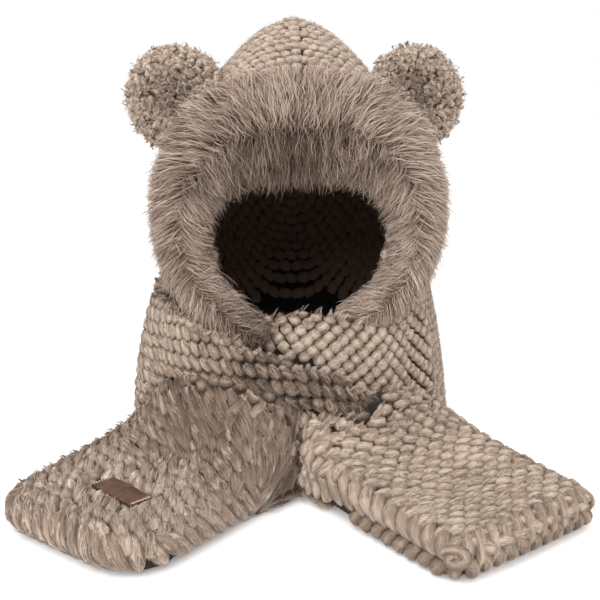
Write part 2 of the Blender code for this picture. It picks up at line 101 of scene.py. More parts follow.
def keepPiece(obj, material, tone=None, grain=None):  # material, slot and body of a finished piece
    mesh = obj.data
    mesh.materials.clear()
    mesh.materials.append(material)
    if tone is not None:
        layer = mesh.attributes.new("tone", "FLOAT", "POINT")
        tones = np.full(len(mesh.vertices), tone) if np.isscalar(tone) else np.ravel(tone)
        layer.data.foreach_set("value", tones.astype(np.float32))
    if grain is not None:
        layer = mesh.attributes.new("grain", "FLOAT_VECTOR", "POINT")
        layer.data.foreach_set("vector", np.asarray(grain, np.float32).ravel())
    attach(obj, "root")
    return obj


def addMesh(name, points, faces, material, tone=None, grain=None):
    points = np.array(points, np.float32).reshape(-1, 3)
    faces = np.asarray(faces, np.int32)
    # soft parts are squashed where they rest on the floor
    points[:, 2] = np.maximum(points[:, 2], 0.0003)
    mesh = bpy.data.meshes.new(name)
    mesh.vertices.add(len(points))
    mesh.vertices.foreach_set("co", points.ravel())
    mesh.loops.add(faces.size)
    mesh.loops.foreach_set("vertex_index", faces.ravel())
    mesh.polygons.add(len(faces))
    mesh.polygons.foreach_set("loop_start", np.arange(len(faces), dtype=np.int32) * faces.shape[1])
    mesh.polygons.foreach_set("use_smooth", np.ones(len(faces), dtype=bool))
    mesh.update(calc_edges=True)
    obj = bpy.data.objects.new(name, mesh)
    bpy.context.scene.collection.objects.link(obj)
    print("made", name, len(faces), "faces")
    return keepPiece(obj, material, tone, grain)


def copyOfNode(node, name, cuts=0):  # a merged copy of a CAD node, which it replaces
    source = frame["nodes"][node]
    obj = source.copy()
    obj.data = source.data.copy()
    obj.name = name
    obj.data.name = name
    obj.parent = None
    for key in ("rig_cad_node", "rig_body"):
        if key in obj:
            del obj[key]
    bpy.context.scene.collection.objects.link(obj)
    bpy.context.view_layer.objects.active = obj
    obj.select_set(True)
    bpy.ops.object.mode_set(mode="EDIT")
    bpy.ops.mesh.select_all(action="SELECT")
    bpy.ops.mesh.remove_doubles(threshold=0.00005)
    bpy.ops.mesh.normals_make_consistent(inside=False)
    if cuts:
        bpy.ops.mesh.subdivide(number_cuts=cuts, smoothness=0.6)
    bpy.ops.object.mode_set(mode="OBJECT")
    bpy.ops.object.shade_smooth_by_angle(angle=math.radians(70))
    obj.select_set(False)
    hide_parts(node)
    return obj


def pointsOf(obj):
    points = np.zeros(len(obj.data.vertices) * 3)
    obj.data.vertices.foreach_get("co", points)
    return points.reshape(-1, 3)


def normalsOf(obj):
    normals = np.zeros(len(obj.data.vertices) * 3)
    obj.data.vertex_normals.foreach_get("vector", normals)
    return normals.reshape(-1, 3)


def treeOf(*nodes):
    points = []
    faces = []
    for node in nodes:
        mesh = frame["nodes"][node].data
        start = len(points)
        points += [v.co.copy() for v in mesh.vertices]
        faces += [[start + i for i in p.vertices] for p in mesh.polygons]
    return BVHTree.FromPolygons(points, faces)


def strike(tree, aim, direction, reach=0.3):  # where a ray from outside first meets the surface
    way = Vector(direction).normalized()
    hit = tree.ray_cast(Vector(aim) + way * reach, -way, reach)
    return None if hit[0] is None else hit[0]


def softNormal(tree, place, radius=0.009):
    total = Vector((0, 0, 0))
    for _, normal, _, far in tree.find_nearest_range(place, radius):
        total += normal * (radius * 1.1 - far)
    return total.normalized()


# Materials

def nodesOf(tree, kind, **values):
    node = tree.nodes.new(kind)
    for key, value in values.items():
        setattr(node, key, value)
    return node


def makeFibreGrain():
    # fine fibre speckle and broad cloudiness, shared by every cloth here
    group = bpy.data.node_groups.new("fibreGrain", "ShaderNodeTree")
    group.interface.new_socket("Fine Scale", in_out="INPUT", socket_type="NodeSocketFloat")
    group.interface.new_socket("Cloud Scale", in_out="INPUT", socket_type="NodeSocketFloat")
    group.interface.new_socket("Shade", in_out="OUTPUT", socket_type="NodeSocketFloat")
    group.interface.new_socket("Height", in_out="OUTPUT", socket_type="NodeSocketFloat")
    enter = nodesOf(group, "NodeGroupInput")
    leave = nodesOf(group, "NodeGroupOutput")
    place = nodesOf(group, "ShaderNodeTexCoord")
    fine = nodesOf(group, "ShaderNodeTexNoise")
    fine.inputs["Detail"].default_value = 4
    fine.inputs["Roughness"].default_value = 0.7
    cloud = nodesOf(group, "ShaderNodeTexNoise")
    cloud.inputs["Detail"].default_value = 2
    blend = nodesOf(group, "ShaderNodeMath", operation="MULTIPLY_ADD")
    blend.inputs[1].default_value = 0.65
    less = nodesOf(group, "ShaderNodeMath", operation="MULTIPLY")
    less.inputs[1].default_value = 0.35
    link = group.links.new
    link(place.outputs["Object"], fine.inputs["Vector"])
    link(place.outputs["Object"], cloud.inputs["Vector"])
    link(enter.outputs["Fine Scale"], fine.inputs["Scale"])
    link(enter.outputs["Cloud Scale"], cloud.inputs["Scale"])
    link(cloud.outputs["Fac"], less.inputs[0])
    link(fine.outputs["Fac"], blend.inputs[0])
    link(less.outputs[0], blend.inputs[2])
    link(blend.outputs[0], leave.inputs["Shade"])
    link(fine.outputs["Fac"], leave.inputs["Height"])
    return group


def makeYarnStreaks():
    # fine fibres that run along each stitch, from the stitch's own lengths in its grain attribute
    group = bpy.data.node_groups.new("yarnStreaks", "ShaderNodeTree")
    group.interface.new_socket("Along", in_out="INPUT", socket_type="NodeSocketFloat")
    group.interface.new_socket("Across", in_out="INPUT", socket_type="NodeSocketFloat")
    group.interface.new_socket("Shade", in_out="OUTPUT", socket_type="NodeSocketFloat")
    enter = nodesOf(group, "NodeGroupInput")
    leave = nodesOf(group, "NodeGroupOutput")
    own = nodesOf(group, "ShaderNodeAttribute", attribute_name="grain")
    apart = nodesOf(group, "ShaderNodeSeparateXYZ")
    along = nodesOf(group, "ShaderNodeMath", operation="MULTIPLY")
    across = nodesOf(group, "ShaderNodeMath", operation="MULTIPLY")
    joined = nodesOf(group, "ShaderNodeCombineXYZ")
    noise = nodesOf(group, "ShaderNodeTexNoise")
    noise.inputs["Scale"].default_value = 1
    noise.inputs["Detail"].default_value = 3
    noise.inputs["Roughness"].default_value = 0.65
    link = group.links.new
    link(own.outputs["Vector"], apart.inputs[0])
    link(apart.outputs["X"], along.inputs[0])
    link(enter.outputs["Along"], along.inputs[1])
    link(apart.outputs["Y"], across.inputs[0])
    link(enter.outputs["Across"], across.inputs[1])
    link(along.outputs[0], joined.inputs["X"])
    link(across.outputs[0], joined.inputs["Y"])
    link(apart.outputs["Z"], joined.inputs["Z"])
    link(joined.outputs[0], noise.inputs["Vector"])
    link(noise.outputs["Fac"], leave.inputs["Shade"])
    return group


fibreGrain = makeFibreGrain()
yarnStreaks = makeYarnStreaks()


def clothMaterial(name, colours, grain=1100, cloud=22, speckle=0.5, bump=0.35, sheen=0.12, rough=0.95,
                  streaks=0.0):
    # colours run from the deepest tone to the lightest, each as (tone, r, g, b)
    material = bpy.data.materials.new(name)
    material.use_nodes = True
    tree = material.node_tree
    shader = tree.nodes["Principled BSDF"]
    tone = nodesOf(tree, "ShaderNodeAttribute", attribute_name="tone")
    group = nodesOf(tree, "ShaderNodeGroup", node_tree=fibreGrain)
    group.inputs["Fine Scale"].default_value = grain
    group.inputs["Cloud Scale"].default_value = cloud
    centre = nodesOf(tree, "ShaderNodeMath", operation="SUBTRACT")
    centre.inputs[1].default_value = 0.5
    mixed = nodesOf(tree, "ShaderNodeMath", operation="MULTIPLY_ADD")
    mixed.inputs[1].default_value = speckle
    ramp = nodesOf(tree, "ShaderNodeValToRGB")
    ramp.color_ramp.elements[0].position = colours[0][0]
    ramp.color_ramp.elements[0].color = linear(*colours[0][1:])
    ramp.color_ramp.elements[1].position = colours[-1][0]
    ramp.color_ramp.elements[1].color = linear(*colours[-1][1:])
    for place, r, g, b in colours[1:-1]:
        ramp.color_ramp.elements.new(place).color = linear(r, g, b)
    raised = nodesOf(tree, "ShaderNodeBump")
    raised.inputs["Strength"].default_value = bump
    raised.inputs["Distance"].default_value = 0.001
    link = tree.links.new
    link(group.outputs["Shade"], centre.inputs[0])
    link(centre.outputs[0], mixed.inputs[0])
    link(tone.outputs["Fac"], mixed.inputs[2])
    height, shade = group.outputs["Height"], mixed.outputs[0]
    if streaks:
        yarn = nodesOf(tree, "ShaderNodeGroup", node_tree=yarnStreaks)
        yarn.inputs["Along"].default_value = 260
        yarn.inputs["Across"].default_value = 1500
        lined = nodesOf(tree, "ShaderNodeMath", operation="SUBTRACT")
        lined.inputs[1].default_value = 0.5
        added = nodesOf(tree, "ShaderNodeMath", operation="MULTIPLY_ADD")
        added.inputs[1].default_value = streaks
        link(yarn.outputs["Shade"], lined.inputs[0])
        link(lined.outputs[0], added.inputs[0])
        link(shade, added.inputs[2])
        height, shade = yarn.outputs["Shade"], added.outputs[0]
    link(shade, ramp.inputs["Fac"])
    link(ramp.outputs["Color"], shader.inputs["Base Color"])
    link(height, raised.inputs["Height"])
    link(raised.outputs["Normal"], shader.inputs["Normal"])
    shader.inputs["Roughness"].default_value = rough
    shader.inputs["Specular IOR Level"].default_value = 0.2
    shader.inputs["Sheen Weight"].default_value = sheen
    shader.inputs["Sheen Roughness"].default_value = 0.5
    return material


knitYarn = clothMaterial("knitYarn", ((0, 40, 30, 24), (0.3, 98, 81, 69), (0.6, 158, 138, 121),
                                      (1, 204, 185, 168)), streaks=0.9, bump=0.8)
# painted shade: a dark base that shows between the stitches as the shade in their gaps
paintedShadeBase = clothMaterial("paintedShadeBase", ((0, 18, 13, 10), (0.5, 62, 49, 40), (1, 110, 92, 78)), sheen=0.0)
knitFuzz = clothMaterial("knitFuzz", ((0, 70, 55, 45), (0.5, 160, 140, 123), (1, 224, 207, 192)), bump=0.1)
fleecePile = clothMaterial("fleecePile", ((0, 52, 40, 32), (0.35, 122, 103, 88), (0.7, 176, 156, 140),
                                          (1, 218, 201, 186)), streaks=0.7, bump=0.5)
furHair = clothMaterial("furHair", ((0, 40, 29, 22), (0.3, 90, 72, 60), (0.62, 148, 127, 112),
                                    (1, 214, 194, 178)), grain=400, bump=0.1, speckle=0.35, rough=0.7)
earPlush = clothMaterial("earPlush", ((0, 38, 29, 23), (0.35, 96, 79, 67), (0.7, 158, 138, 122),
                                      (1, 210, 191, 175)), streaks=0.7, bump=0.5)
# painted shade: darker copies of the knit and of its base for the inside of the hood, which lies in shade
paintedShadeKnit = clothMaterial("paintedShadeKnit", ((0, 12, 8, 6), (0.5, 52, 40, 32), (1, 82, 64, 52)),
                           sheen=0.0, bump=0.5)
paintedShadeLining = clothMaterial("paintedShadeLining", ((0, 8, 6, 4), (0.6, 20, 15, 12), (1, 34, 27, 22)),
                           sheen=0.0, bump=0.6)
print("cloth materials made")


# Stitches, strands and fuzz

def modelStitch():
    # one plump stitch, its length along X, modelled once and copied over the knit
    bpy.ops.mesh.primitive_uv_sphere_add(segments=8, ring_count=4, radius=0.5, rotation=(0, math.pi / 2, 0))
    obj = bpy.context.object
    bpy.ops.object.transform_apply(location=False, rotation=True, scale=False)
    bpy.ops.object.mode_set(mode="EDIT")
    bpy.ops.mesh.select_mode(type="VERT")
    bpy.ops.mesh.select_all(action="DESELECT")
    bpy.ops.object.mode_set(mode="OBJECT")
    for vertex in obj.data.vertices:
        vertex.select = 0.1 < abs(vertex.co.x) < 0.45
    bpy.ops.object.mode_set(mode="EDIT")
    bpy.ops.transform.resize(value=(1.12, 1.12, 1.1))
    bpy.ops.mesh.select_all(action="SELECT")
    bpy.ops.mesh.quads_convert_to_tris()
    bpy.ops.mesh.normals_make_consistent(inside=False)
    bpy.ops.object.mode_set(mode="OBJECT")
    points = pointsOf(obj)
    faces = np.array([list(p.vertices) for p in obj.data.polygons])
    bpy.data.objects.remove(obj)
    return points, faces


stitchPoints, stitchFaces = modelStitch()


def layStitches(name, places, ups, alongs, sizes, slant=0.0, tone=0.5, material=knitYarn, slotName="knit"):
    # one copy of the stitch at each place, and the roots and directions for its fuzz
    count = len(places)
    places = np.asarray(places, float)
    ups = unit(np.asarray(ups, float))
    sides = unit(np.cross(ups, np.asarray(alongs, float)))
    alongs = np.cross(sides, ups)
    angle = np.radians(slant) + chance.normal(0, 0.10, (count, 1))
    turned = alongs * np.cos(angle) + sides * np.sin(angle)
    across = np.cross(ups, turned)
    size = np.asarray(sizes, float) * chance.uniform(0.9, 1.1, (count, 3))
    local = stitchPoints[None] * size[:, None, :]
    points = places[:, None] + local[..., 0:1] * turned[:, None] + local[..., 1:2] * across[:, None]
    points = points + local[..., 2:3] * ups[:, None]
    faces = (stitchFaces[None] + (np.arange(count) * len(stitchPoints))[:, None, None]).reshape(-1, 3)
    points = points + chance.normal(0, 0.035, points.shape) * size.mean(1)[:, None, None]
    # painted light and shade: each stitch pale on top, and darker at the foot, the ends and the sides
    x, y, z = np.abs(stitchPoints[:, 0]), np.abs(stitchPoints[:, 1]), stitchPoints[:, 2]
    tones = np.reshape(tone, (-1, 1)) + (z * 1.1 - x * 0.3 - y * 0.2) + chance.normal(0, 0.05, (count, 1))
    girth = np.arctan2(local[..., 2], local[..., 1]) * size[:, 1:2] * 0.5
    own = np.broadcast_to(chance.uniform(0, 90, (count, 1)), girth.shape)
    grain = np.stack([local[..., 0], girth, own], axis=2)
    addMesh(name, points, faces, material, tones, grain)
    return places, ups, turned, size


# painted shade: fibres are darker the further they turn to the sides of their stitch or rib, as the shade in
# the creases
fibres = {"spikeWidth": 0.00042, "spikeLay": 0.75, "spikeTones": (0.32, 0.32, 0.62), "combWidth": 0.0005,
          "combTones": (0.33, 0.50, 0.62, 0.74), "rimTones": (0.44, 0.54, 0.60, 0.66), "paintedSideShade": 0.24}


def layFuzz(name, places, ups, alongs, sizes, each, length, material=knitFuzz, slotName="knit", tone=0.0):
    # short fibres, each one a thin spike rooted on the crown of its stitch
    index = np.repeat(np.arange(len(places)), each)
    count = len(index)
    lift, along, size = ups[index], alongs[index], sizes[index]
    side = np.cross(ups, alongs)[index]
    spot = chance.uniform(-0.46, 0.46, (count, 2))
    drop = 0.5 * np.sqrt(np.maximum(0.03, 1 - (spot ** 2).sum(1) * 3.6))
    roots = places[index] + along * (spot[:, :1] * size[:, :1])
    roots = roots + side * (spot[:, 1:] * size[:, 1:2]) + lift * (drop[:, None] * size[:, 2:])
    turn = chance.uniform(0, 2 * math.pi, (count, 1))
    way = side * np.sin(turn) + along * (np.cos(turn) + 0.35)
    way = unit(way * fibres["spikeLay"] + lift * chance.uniform(0.1, 1.1, (count, 1)))
    far = length * chance.uniform(0.45, 1.15, (count, 1))
    flat = unit(np.cross(way, lift)) * fibres["spikeWidth"] / 2
    points = np.stack([roots - flat, roots + flat, roots + way * far], axis=1)
    tones = np.array(fibres["spikeTones"]) + perPlace(tone, len(places))[index]
    tones = tones + chance.normal(0, 0.11, (count, 1))
    addMesh(name, points, np.arange(count * 3).reshape(-1, 3), material, tones)


def growLocks(name, curves, ups, strands, radius, width, spread, material, tones,
              wave=0.0006, shorter=0.7, shift=0.0, mottle=0.13):
    # each lock is a bundle of tapered strands round its own curve
    # spread gives the width of the bundle from root to tip
    locks, steps = curves.shape[:2]
    count = locks * strands
    share = np.linspace(0, 1, steps)
    run = share[None, None, :, None]
    rows = np.arange(locks)[:, None, None]
    reach = chance.uniform(shorter, 1.0, (locks, strands, 1)) * share * (steps - 1)
    line = stepsOn(curves, rows, reach)
    lift = unit(stepsOn(ups, rows, reach))
    sides = unit(np.cross(lift, unit(np.gradient(line, axis=2))))
    turn = chance.uniform(0, 2 * math.pi, (locks, strands, 1, 1))
    far = radius * np.sqrt(chance.uniform(0, 1, (locks, strands, 1, 1)))
    wide = np.interp(run, np.linspace(0, 1, len(spread)), spread)
    offset = (sides * np.cos(turn) + lift * (np.sin(turn) * 0.55 + 0.35)) * far * wide
    phase = chance.uniform(0, 2 * math.pi, (locks, strands, 1, 1))
    swing = np.sin(phase + run * chance.uniform(3, 8, (locks, strands, 1, 1)))
    line = line + offset + sides * swing * wave * run * 2
    shade = np.interp(share, np.linspace(0, 1, len(tones)), tones)[None, None]
    shade = shade + chance.normal(0, 0.07, (locks, 1, 1)) + chance.normal(0, mottle, (locks, strands, 1))
    shade = (shade + perPlace(shift, locks)[..., None]).reshape(count, steps)
    line, lift = line.reshape(count, steps, 3), lift.reshape(count, steps, 3)
    strandMesh(name, line, lift, width, shade, material)


def strandMesh(name, lines, lifts, width, shade, material):
    # a tapered ribbon along each line, flat side outwards
    count, steps = lines.shape[:2]
    share = np.linspace(0, 1, steps)
    forward = unit(np.gradient(lines, axis=1))
    flat = unit(np.cross(forward, lifts)) * (width / 2) * (1 - 0.75 * share ** 2)[None, :, None]
    left, right = (lines - flat)[:, :-1], (lines + flat)[:, :-1]
    pairs = np.stack([left, right], axis=2).reshape(count, (steps - 1) * 2, 3)
    points = np.concatenate([pairs, lines[:, -1:]], axis=1)
    each = points.shape[1]
    faces = []
    for k in range(steps - 2):
        faces += [(2 * k, 2 * k + 1, 2 * k + 3), (2 * k, 2 * k + 3, 2 * k + 2)]
    faces.append((each - 3, each - 2, each - 1))
    faces = np.array(faces)[None] + (np.arange(count) * each)[:, None, None]
    tones = np.concatenate([np.repeat(shade[:, :-1], 2, axis=1), shade[:, -1:]], axis=1)
    addMesh(name, points, faces.reshape(-1, 3), material, tones)


def combFibres(name, places, ups, alongs, sizes, each, material=knitFuzz, slotName="knit",
               width=fibres["combWidth"], flare=0.0016, tone=0.0, mottle=0.09):
    # fibres combed along each stitch, close to its body, their tips standing off it
    index = np.repeat(np.arange(len(places)), each)
    count = len(index)
    sides = np.cross(ups, alongs)[index]
    lifts, forward, size = ups[index], alongs[index], sizes[index]
    turn = chance.uniform(-1.7, 1.7, (count, 1))
    first = chance.uniform(-0.52, 0.05, (count, 1))
    reach = 0.7 * chance.uniform(0.6, 1.1, (count, 1))
    drift = chance.normal(0, 0.35, (count, 1))
    lines, outs = [], []
    for s in (0.0, 0.4, 0.75, 1.0):
        x = first + reach * s
        belly = 0.5 * np.sqrt(1 - 0.9 * np.minimum(np.abs(2 * x), 1) ** 2)
        t = turn + drift * s
        way = sides * np.sin(t) + lifts * np.cos(t)
        body = sides * np.sin(t) * size[:, 1:2] + lifts * np.cos(t) * size[:, 2:3]
        spot = places[index] + forward * x * size[:, :1] + body * belly * 1.04
        lines.append(spot + way * (0.0002 + flare * s * s))
        outs.append(way)
    shade = np.array(fibres["combTones"])[None] + chance.normal(0, mottle, (count, 1))
    # painted shade: darker on the stitch's sides
    shade = shade + perPlace(tone, len(places))[index] - fibres["paintedSideShade"] * np.abs(turn)
    strandMesh(name, np.stack(lines, axis=1), np.stack(outs, axis=1), width, shade, material)


def layRibs(name, paths, ups, thick, material=knitYarn, slotName="knit", tone=0.6):
    # a rounded rib swept along each path, closed at both ends
    ribs, steps = paths.shape[:2]
    each = steps * 8 + 2
    turn = np.linspace(0, 2 * math.pi, 8, endpoint=False)
    forward = unit(np.gradient(paths, axis=1))
    sides = unit(np.cross(ups, forward))
    lift = np.cross(forward, sides)
    swell = np.sin(np.linspace(0.12, math.pi - 0.12, steps)) ** 0.45
    size = thick * swell[None] / 2 * chance.uniform(0.92, 1.08, (ribs, 1))
    ring = sides[:, :, None] * np.cos(turn)[:, None] + lift[:, :, None] * np.sin(turn)[:, None] * 0.85
    points = (paths[:, :, None] + ring * size[:, :, None, None]).reshape(ribs, steps * 8, 3)
    points = np.concatenate([points, paths[:, :1], paths[:, -1:]], axis=1)
    faces = []
    for k in range(steps - 1):
        for j in range(8):
            a, b = k * 8 + j, k * 8 + (j + 1) % 8
            faces += [(a, b, b + 8), (a, b + 8, a + 8)]
    for j in range(8):
        faces.append((steps * 8, (j + 1) % 8, j))
        faces.append((steps * 8 + 1, (steps - 1) * 8 + j, (steps - 1) * 8 + (j + 1) % 8))
    faces = (np.array(faces)[None] + (np.arange(ribs) * each)[:, None, None]).reshape(-1, 3)
    # painted light and shade: each rib lighter on top and darker at its sides, underside and ends
    shade = np.concatenate([np.tile(np.sin(turn) * 0.44 - 0.16, steps), [-0.3, -0.3]])
    tones = tone + shade[None] + chance.normal(0, 0.05, (ribs, 1))
    run = np.concatenate([np.repeat(np.arange(steps), 8), [0, steps - 1]]) * 0.0035
    girth = np.concatenate([np.tile(np.abs(turn - math.pi), steps), [0, 0]]) * thick * 0.5
    own = np.broadcast_to(chance.uniform(0, 90, (ribs, 1)), (ribs, each))
    grain = np.stack([np.broadcast_to(run, own.shape), np.broadcast_to(girth, own.shape), own], axis=2)
    addMesh(name, points, faces, material, tones, grain)


# Hood

# height and depth of the fur's rear edge, in front of which the hood has no stitches
hoodEdge = ((0.13, -0.13), (0.18, -0.090), (0.233, -0.074), (0.29, -0.080), (0.318, -0.100), (0.335, -0.15))
hood = {"turn": math.radians(3), "middle": 0.235, "bend": 0.045, "sink": 0.0004, "seam": 0.007, "tone": 0.62,
        "fuzz": 12, "fuzzLength": 0.0042, "comb": 5}
hoodOutside = {"row": 0.0092, "pitch": 0.0092, "size": (0.0112, 0.0106, 0.0088), "first": -0.112,
               "lowest": 0.130, "soften": 0.009, "groove": 0.0028}
hoodLining = {"row": 0.0112, "pitch": 0.0124, "size": (0.0162, 0.0124, 0.0062), "first": -0.050,
              "lowest": 0.115, "soften": 0.006, "groove": 0}


def turnHood(points):
    c, s = math.cos(hood["turn"]), math.sin(hood["turn"])
    return np.asarray(points) @ np.array([[c, s, 0], [-s, c, 0], [0, 0, 1]])


def hoodRing(tree, back, tilt, layer):
    # surface points down the left and the right side of the hood
    aim = Vector(turnHood([0, back, hood["middle"]]))
    sides = []
    for side in (-1, 1):
        found = []
        for a in np.radians(np.linspace(0.5, 179.4 if tilt else 158, 90)):
            flat = np.array([side * math.sin(a), 0, math.cos(a)])
            way = Vector(turnHood(flat * math.cos(tilt) + np.array([0, math.sin(tilt), 0])))
            hit = tree.ray_cast(aim, way)[0] if layer is hoodLining else strike(tree, aim, way)
            if hit is not None and hit.z > layer["lowest"]:
                found.append(np.array(hit))
        sides.append(np.array(found))
    return sides


def crownSteps(tree, first, step):
    # depths of the rings, evenly spaced along the crown's top line
    depths = np.arange(first, hood["bend"], 0.001)
    tops = []
    for y in depths:
        hit = tree.ray_cast(Vector(turnHood([0.03, y, 0.45])), Vector((0, 0, -1)), 0.2)
        tops.append(hit[0].z if hit[0] is not None else 0.36)
    run = runOf(np.stack([depths, tops], axis=1))
    return np.interp(np.linspace(0, run[-1], round(run[-1] / step) + 1), run, depths)


def backSteps(tree, step):
    # tilts of the rings round the back of the head, evenly spaced down its middle line
    tilts = np.radians(np.arange(0, 89.5, 1.0))
    aim = turnHood([0, hood["bend"], hood["middle"]])
    run = runOf(np.array([strike(tree, aim, turnHood([0, math.sin(t), math.cos(t)])) for t in tilts]))
    return np.interp(np.arange(step, run[-1], step), run, tilts)


def hoodLattice(tree, layer):
    # places, normals and directions of the stitches, in rings from the face edge to the back of the head
    places, ups, alongs = [], [], []
    edgeHeights, edgeDepths = zip(*hoodEdge)
    across = Vector(turnHood([1, 0, 0]))
    rings = [(y, 0.0) for y in crownSteps(tree, layer["first"], layer["row"])]
    rings += [(hood["bend"], tilt) for tilt in backSteps(tree, layer["row"])]
    for k, (back, tilt) in enumerate(rings):
        for side, points in enumerate(hoodRing(tree, back, tilt, layer)):
            if len(points) < 6:
                continue
            run = runOf(points)
            count = max(4, round(run[-1] / layer["pitch"]))
            at = np.arange(0.5 if k % 2 else float(side), count) / count * run[-1]
            # each ring has one stitch on the seam, and every other tilted ring one at its far end
            if k % 2 and not side:
                at = np.concatenate([[0.0], at])
            elif tilt and not side:
                at = np.concatenate([at, [run[-1]]])
            twist = (0.3 if side else -0.3) * np.clip(at / 0.03, 0, 1)
            ways = spotsOn(points, run, at + 0.004) - spotsOn(points, run, at - 0.004)
            beside = Vector(spotsOn(points, run, 0.010))
            for far, spot, way, bent in zip(at, spotsOn(points, run, at), ways, twist):
                if layer is hoodOutside and spot[1] < np.interp(spot[2], edgeHeights, edgeDepths):
                    continue
                up = softNormal(tree, beside if far < hood["seam"] else Vector(spot), layer["soften"])
                if far < hood["seam"]:
                    up = (up - across * up.dot(across)).normalized()
                if up.length < 0.5 or np.linalg.norm(way) < 1e-5:
                    continue
                # stitches over the seam's groove are raised level with the rest
                rise = hood["sink"] + layer["groove"] * max(0.0, 1 - far / 0.009)
                places.append(spot + np.array(up) * rise)
                ups.append(np.array(up))
                alongs.append(unit(way) + np.cross(up, unit(way)) * bent)
    return places, ups, alongs


def dressHood():
    tree = treeOf("hood")
    found = hoodLattice(tree, hoodOutside)
    kept = layStitches("hoodStitches", *found, hoodOutside["size"], tone=hood["tone"])
    combFibres("hoodFibres", *kept, each=hood["comb"])
    layFuzz("hoodFuzz", *kept, each=hood["fuzz"], length=hood["fuzzLength"])
    found = hoodLattice(tree, hoodLining)
    # painted light: the lining stitches are lighter towards the back of the head, which faces the opening
    paintedLight = 0.42 + np.clip(np.array(found[0])[:, 1] * 3.5, 0, 0.5)
    layStitches("hoodInside", *found, hoodLining["size"], material=paintedShadeKnit, tone=paintedLight)
    backing = copyOfNode("hood", "hoodBacking", cuts=1)
    points, normals = pointsOf(backing), normalsOf(backing)
    height = np.minimum(points[:, 2], 0.25)
    centre = np.stack([np.zeros(len(points)), np.full(len(points), 0.02), height], axis=1)
    inside = ((points - centre) * normals).sum(1) < 0
    # painted shade: the backing's inside faces get a near-black tone and the dark lining material
    keepPiece(backing, paintedShadeBase, np.where(inside, 0.02, 0.45))
    backing.data.materials.append(paintedShadeLining)
    for face in backing.data.polygons:
        if all(inside[i] for i in face.vertices):
            face.material_index = 1


dressHood()


# Wound scarf

wrap = {"radius": 0.1455, "height": 0.165, "thick": 0.013, "fuzz": 14, "fuzzLength": 0.0046,
        "topDrop": 0.0060, "overTop": 0.0125, "roll": 0.0072}
innerBand = {"start": -158, "stop": 186, "pitch": 0.0102, "row": 0.0100, "lean": 36, "slant": 0,
             "tone": 0.50, "size": (0.0110, 0.0121, 0.0090), "out": 0.002, "below": 0.002,
             "paintedLight": 0, "comb": 8}
# painted shade: the crossing band's low tone stands for the deep shade it lies in
crossBand = {"start": 184, "stop": 302, "pitch": 0.0106, "row": 0.0112, "lean": 14, "slant": -44,
             "tone": 0.14, "size": (0.0176, 0.0110, 0.0096), "out": 0.012, "below": 0.008,
             "paintedLight": 0.42, "comb": 24}
# angle in degrees from +X, then the lower and upper edge as shares of the height
wrapEdges = ((-158, .06, .50), (-140, -.045, .66), (-118, -.045, .86), (-90, -.045, .93), (-70, -.045, .905),
             (-54, -.045, .87), (-42, -.045, .92), (-30, -.045, 1.01), (10, -.045, 1.03), (50, -.045, 1.06),
             (90, -.045, 1.08), (130, -.045, 1.06), (160, -.045, 1.03), (182, -.045, .99), (197, .10, .96),
             (211, .40, .93), (225, .57, .90), (239, .61, .86), (252, .60, .81), (264, .56, .75),
             (275, .50, .69), (286, .43, .60), (295, .38, .51), (303, .35, .44))
edgeAngles = np.array([row[0] for row in wrapEdges], float)
edgeLows = np.array([row[1] for row in wrapEdges]) * wrap["height"]
edgeHighs = np.array([row[2] for row in wrapEdges]) * wrap["height"]


def bandEdges(angle):
    return np.interp(angle, edgeAngles, edgeLows), np.interp(angle, edgeAngles, edgeHighs)


def outwardAt(angle):
    a = math.radians(angle)
    return np.array([math.cos(a), math.sin(a), 0.0])


def bandLattice(tree, band):
    # stitches on the unrolled band, measured along it and down from its top edge, which they follow
    crossing = band is crossBand
    lean = math.radians(band["lean"])
    first = np.array([math.cos(lean), -math.sin(lean)]) * band["pitch"]
    second = np.array([math.sin(lean), math.cos(lean)]) * band["row"]
    radius = wrap["radius"] + band["out"]
    reach = math.radians(band["stop"] - band["start"]) * radius
    found, tufts = [], []
    count = int((reach + 0.25) / band["pitch"]) + 30
    for i in range(-count, count):
        for j in range(-count, count):
            along, down = first * i + second * j
            if not (0 <= along <= reach and -wrap["overTop"] <= down < 0.19):
                continue
            angle = band["start"] + math.degrees(along / radius)
            low, high = bandEdges(angle)
            top = high - wrap["topDrop"]
            height = top - max(down, 0.0)
            if height < low - band["below"] or height < 0.003:
                continue
            if not crossing and angle < -57:
                # the crossing band hides this part of the inner turn
                otherLow, otherHigh = bandEdges(angle + 360)
                if otherLow - 0.006 < height < otherHigh - 0.002:
                    continue
            out = outwardAt(angle)
            place = strike(tree, out * 0.09 + upward * height, out)
            if place is None:
                continue
            if down < 0:
                # the first rows roll over the top edge
                t = min(-down / wrap["roll"], 1.65)
                middle = math.hypot(place.x, place.y) - wrap["thick"] * 0.55
                place = strike(tree, out * middle + upward * top, out * math.cos(t) + upward * math.sin(t))
                if place is None:
                    continue
            up = np.array(softNormal(tree, place, 0.008))
            if up @ out < 0.3 and down >= 0:
                up = unit(up + out * 1.2)
            rise = (bandEdges(angle + 2)[1] - bandEdges(angle - 2)[1]) / (math.radians(4) * radius)
            edge = unit(np.cross(upward, out) + upward * rise)
            way = edge * math.cos(lean) - np.cross(edge, out) * math.sin(lean)
            found.append((np.array(place), up, way))
            if down < 0.001 or (crossing and along > reach - 0.014):
                tufts.append((np.array(place), up, edge))
    return found, tufts


def crossingCap(tree):
    # places on the crossing's cut end, over the root of the ribbed end
    flat = np.cross(upward, outwardAt(crossBand["stop"]))
    low, high = bandEdges(crossBand["stop"] - 1)
    found = []
    for height in np.arange(low - 0.004, high + 0.002, 0.0080):
        for radius in (0.146, 0.154, 0.162):
            place = strike(tree, outwardAt(crossBand["stop"] - 4) * radius + upward * height, flat, 0.06)
            if place is None:
                continue
            up = np.array(softNormal(tree, place, 0.006))
            if up @ flat > 0.2:
                found.append((np.array(place), up, upward))
    return found


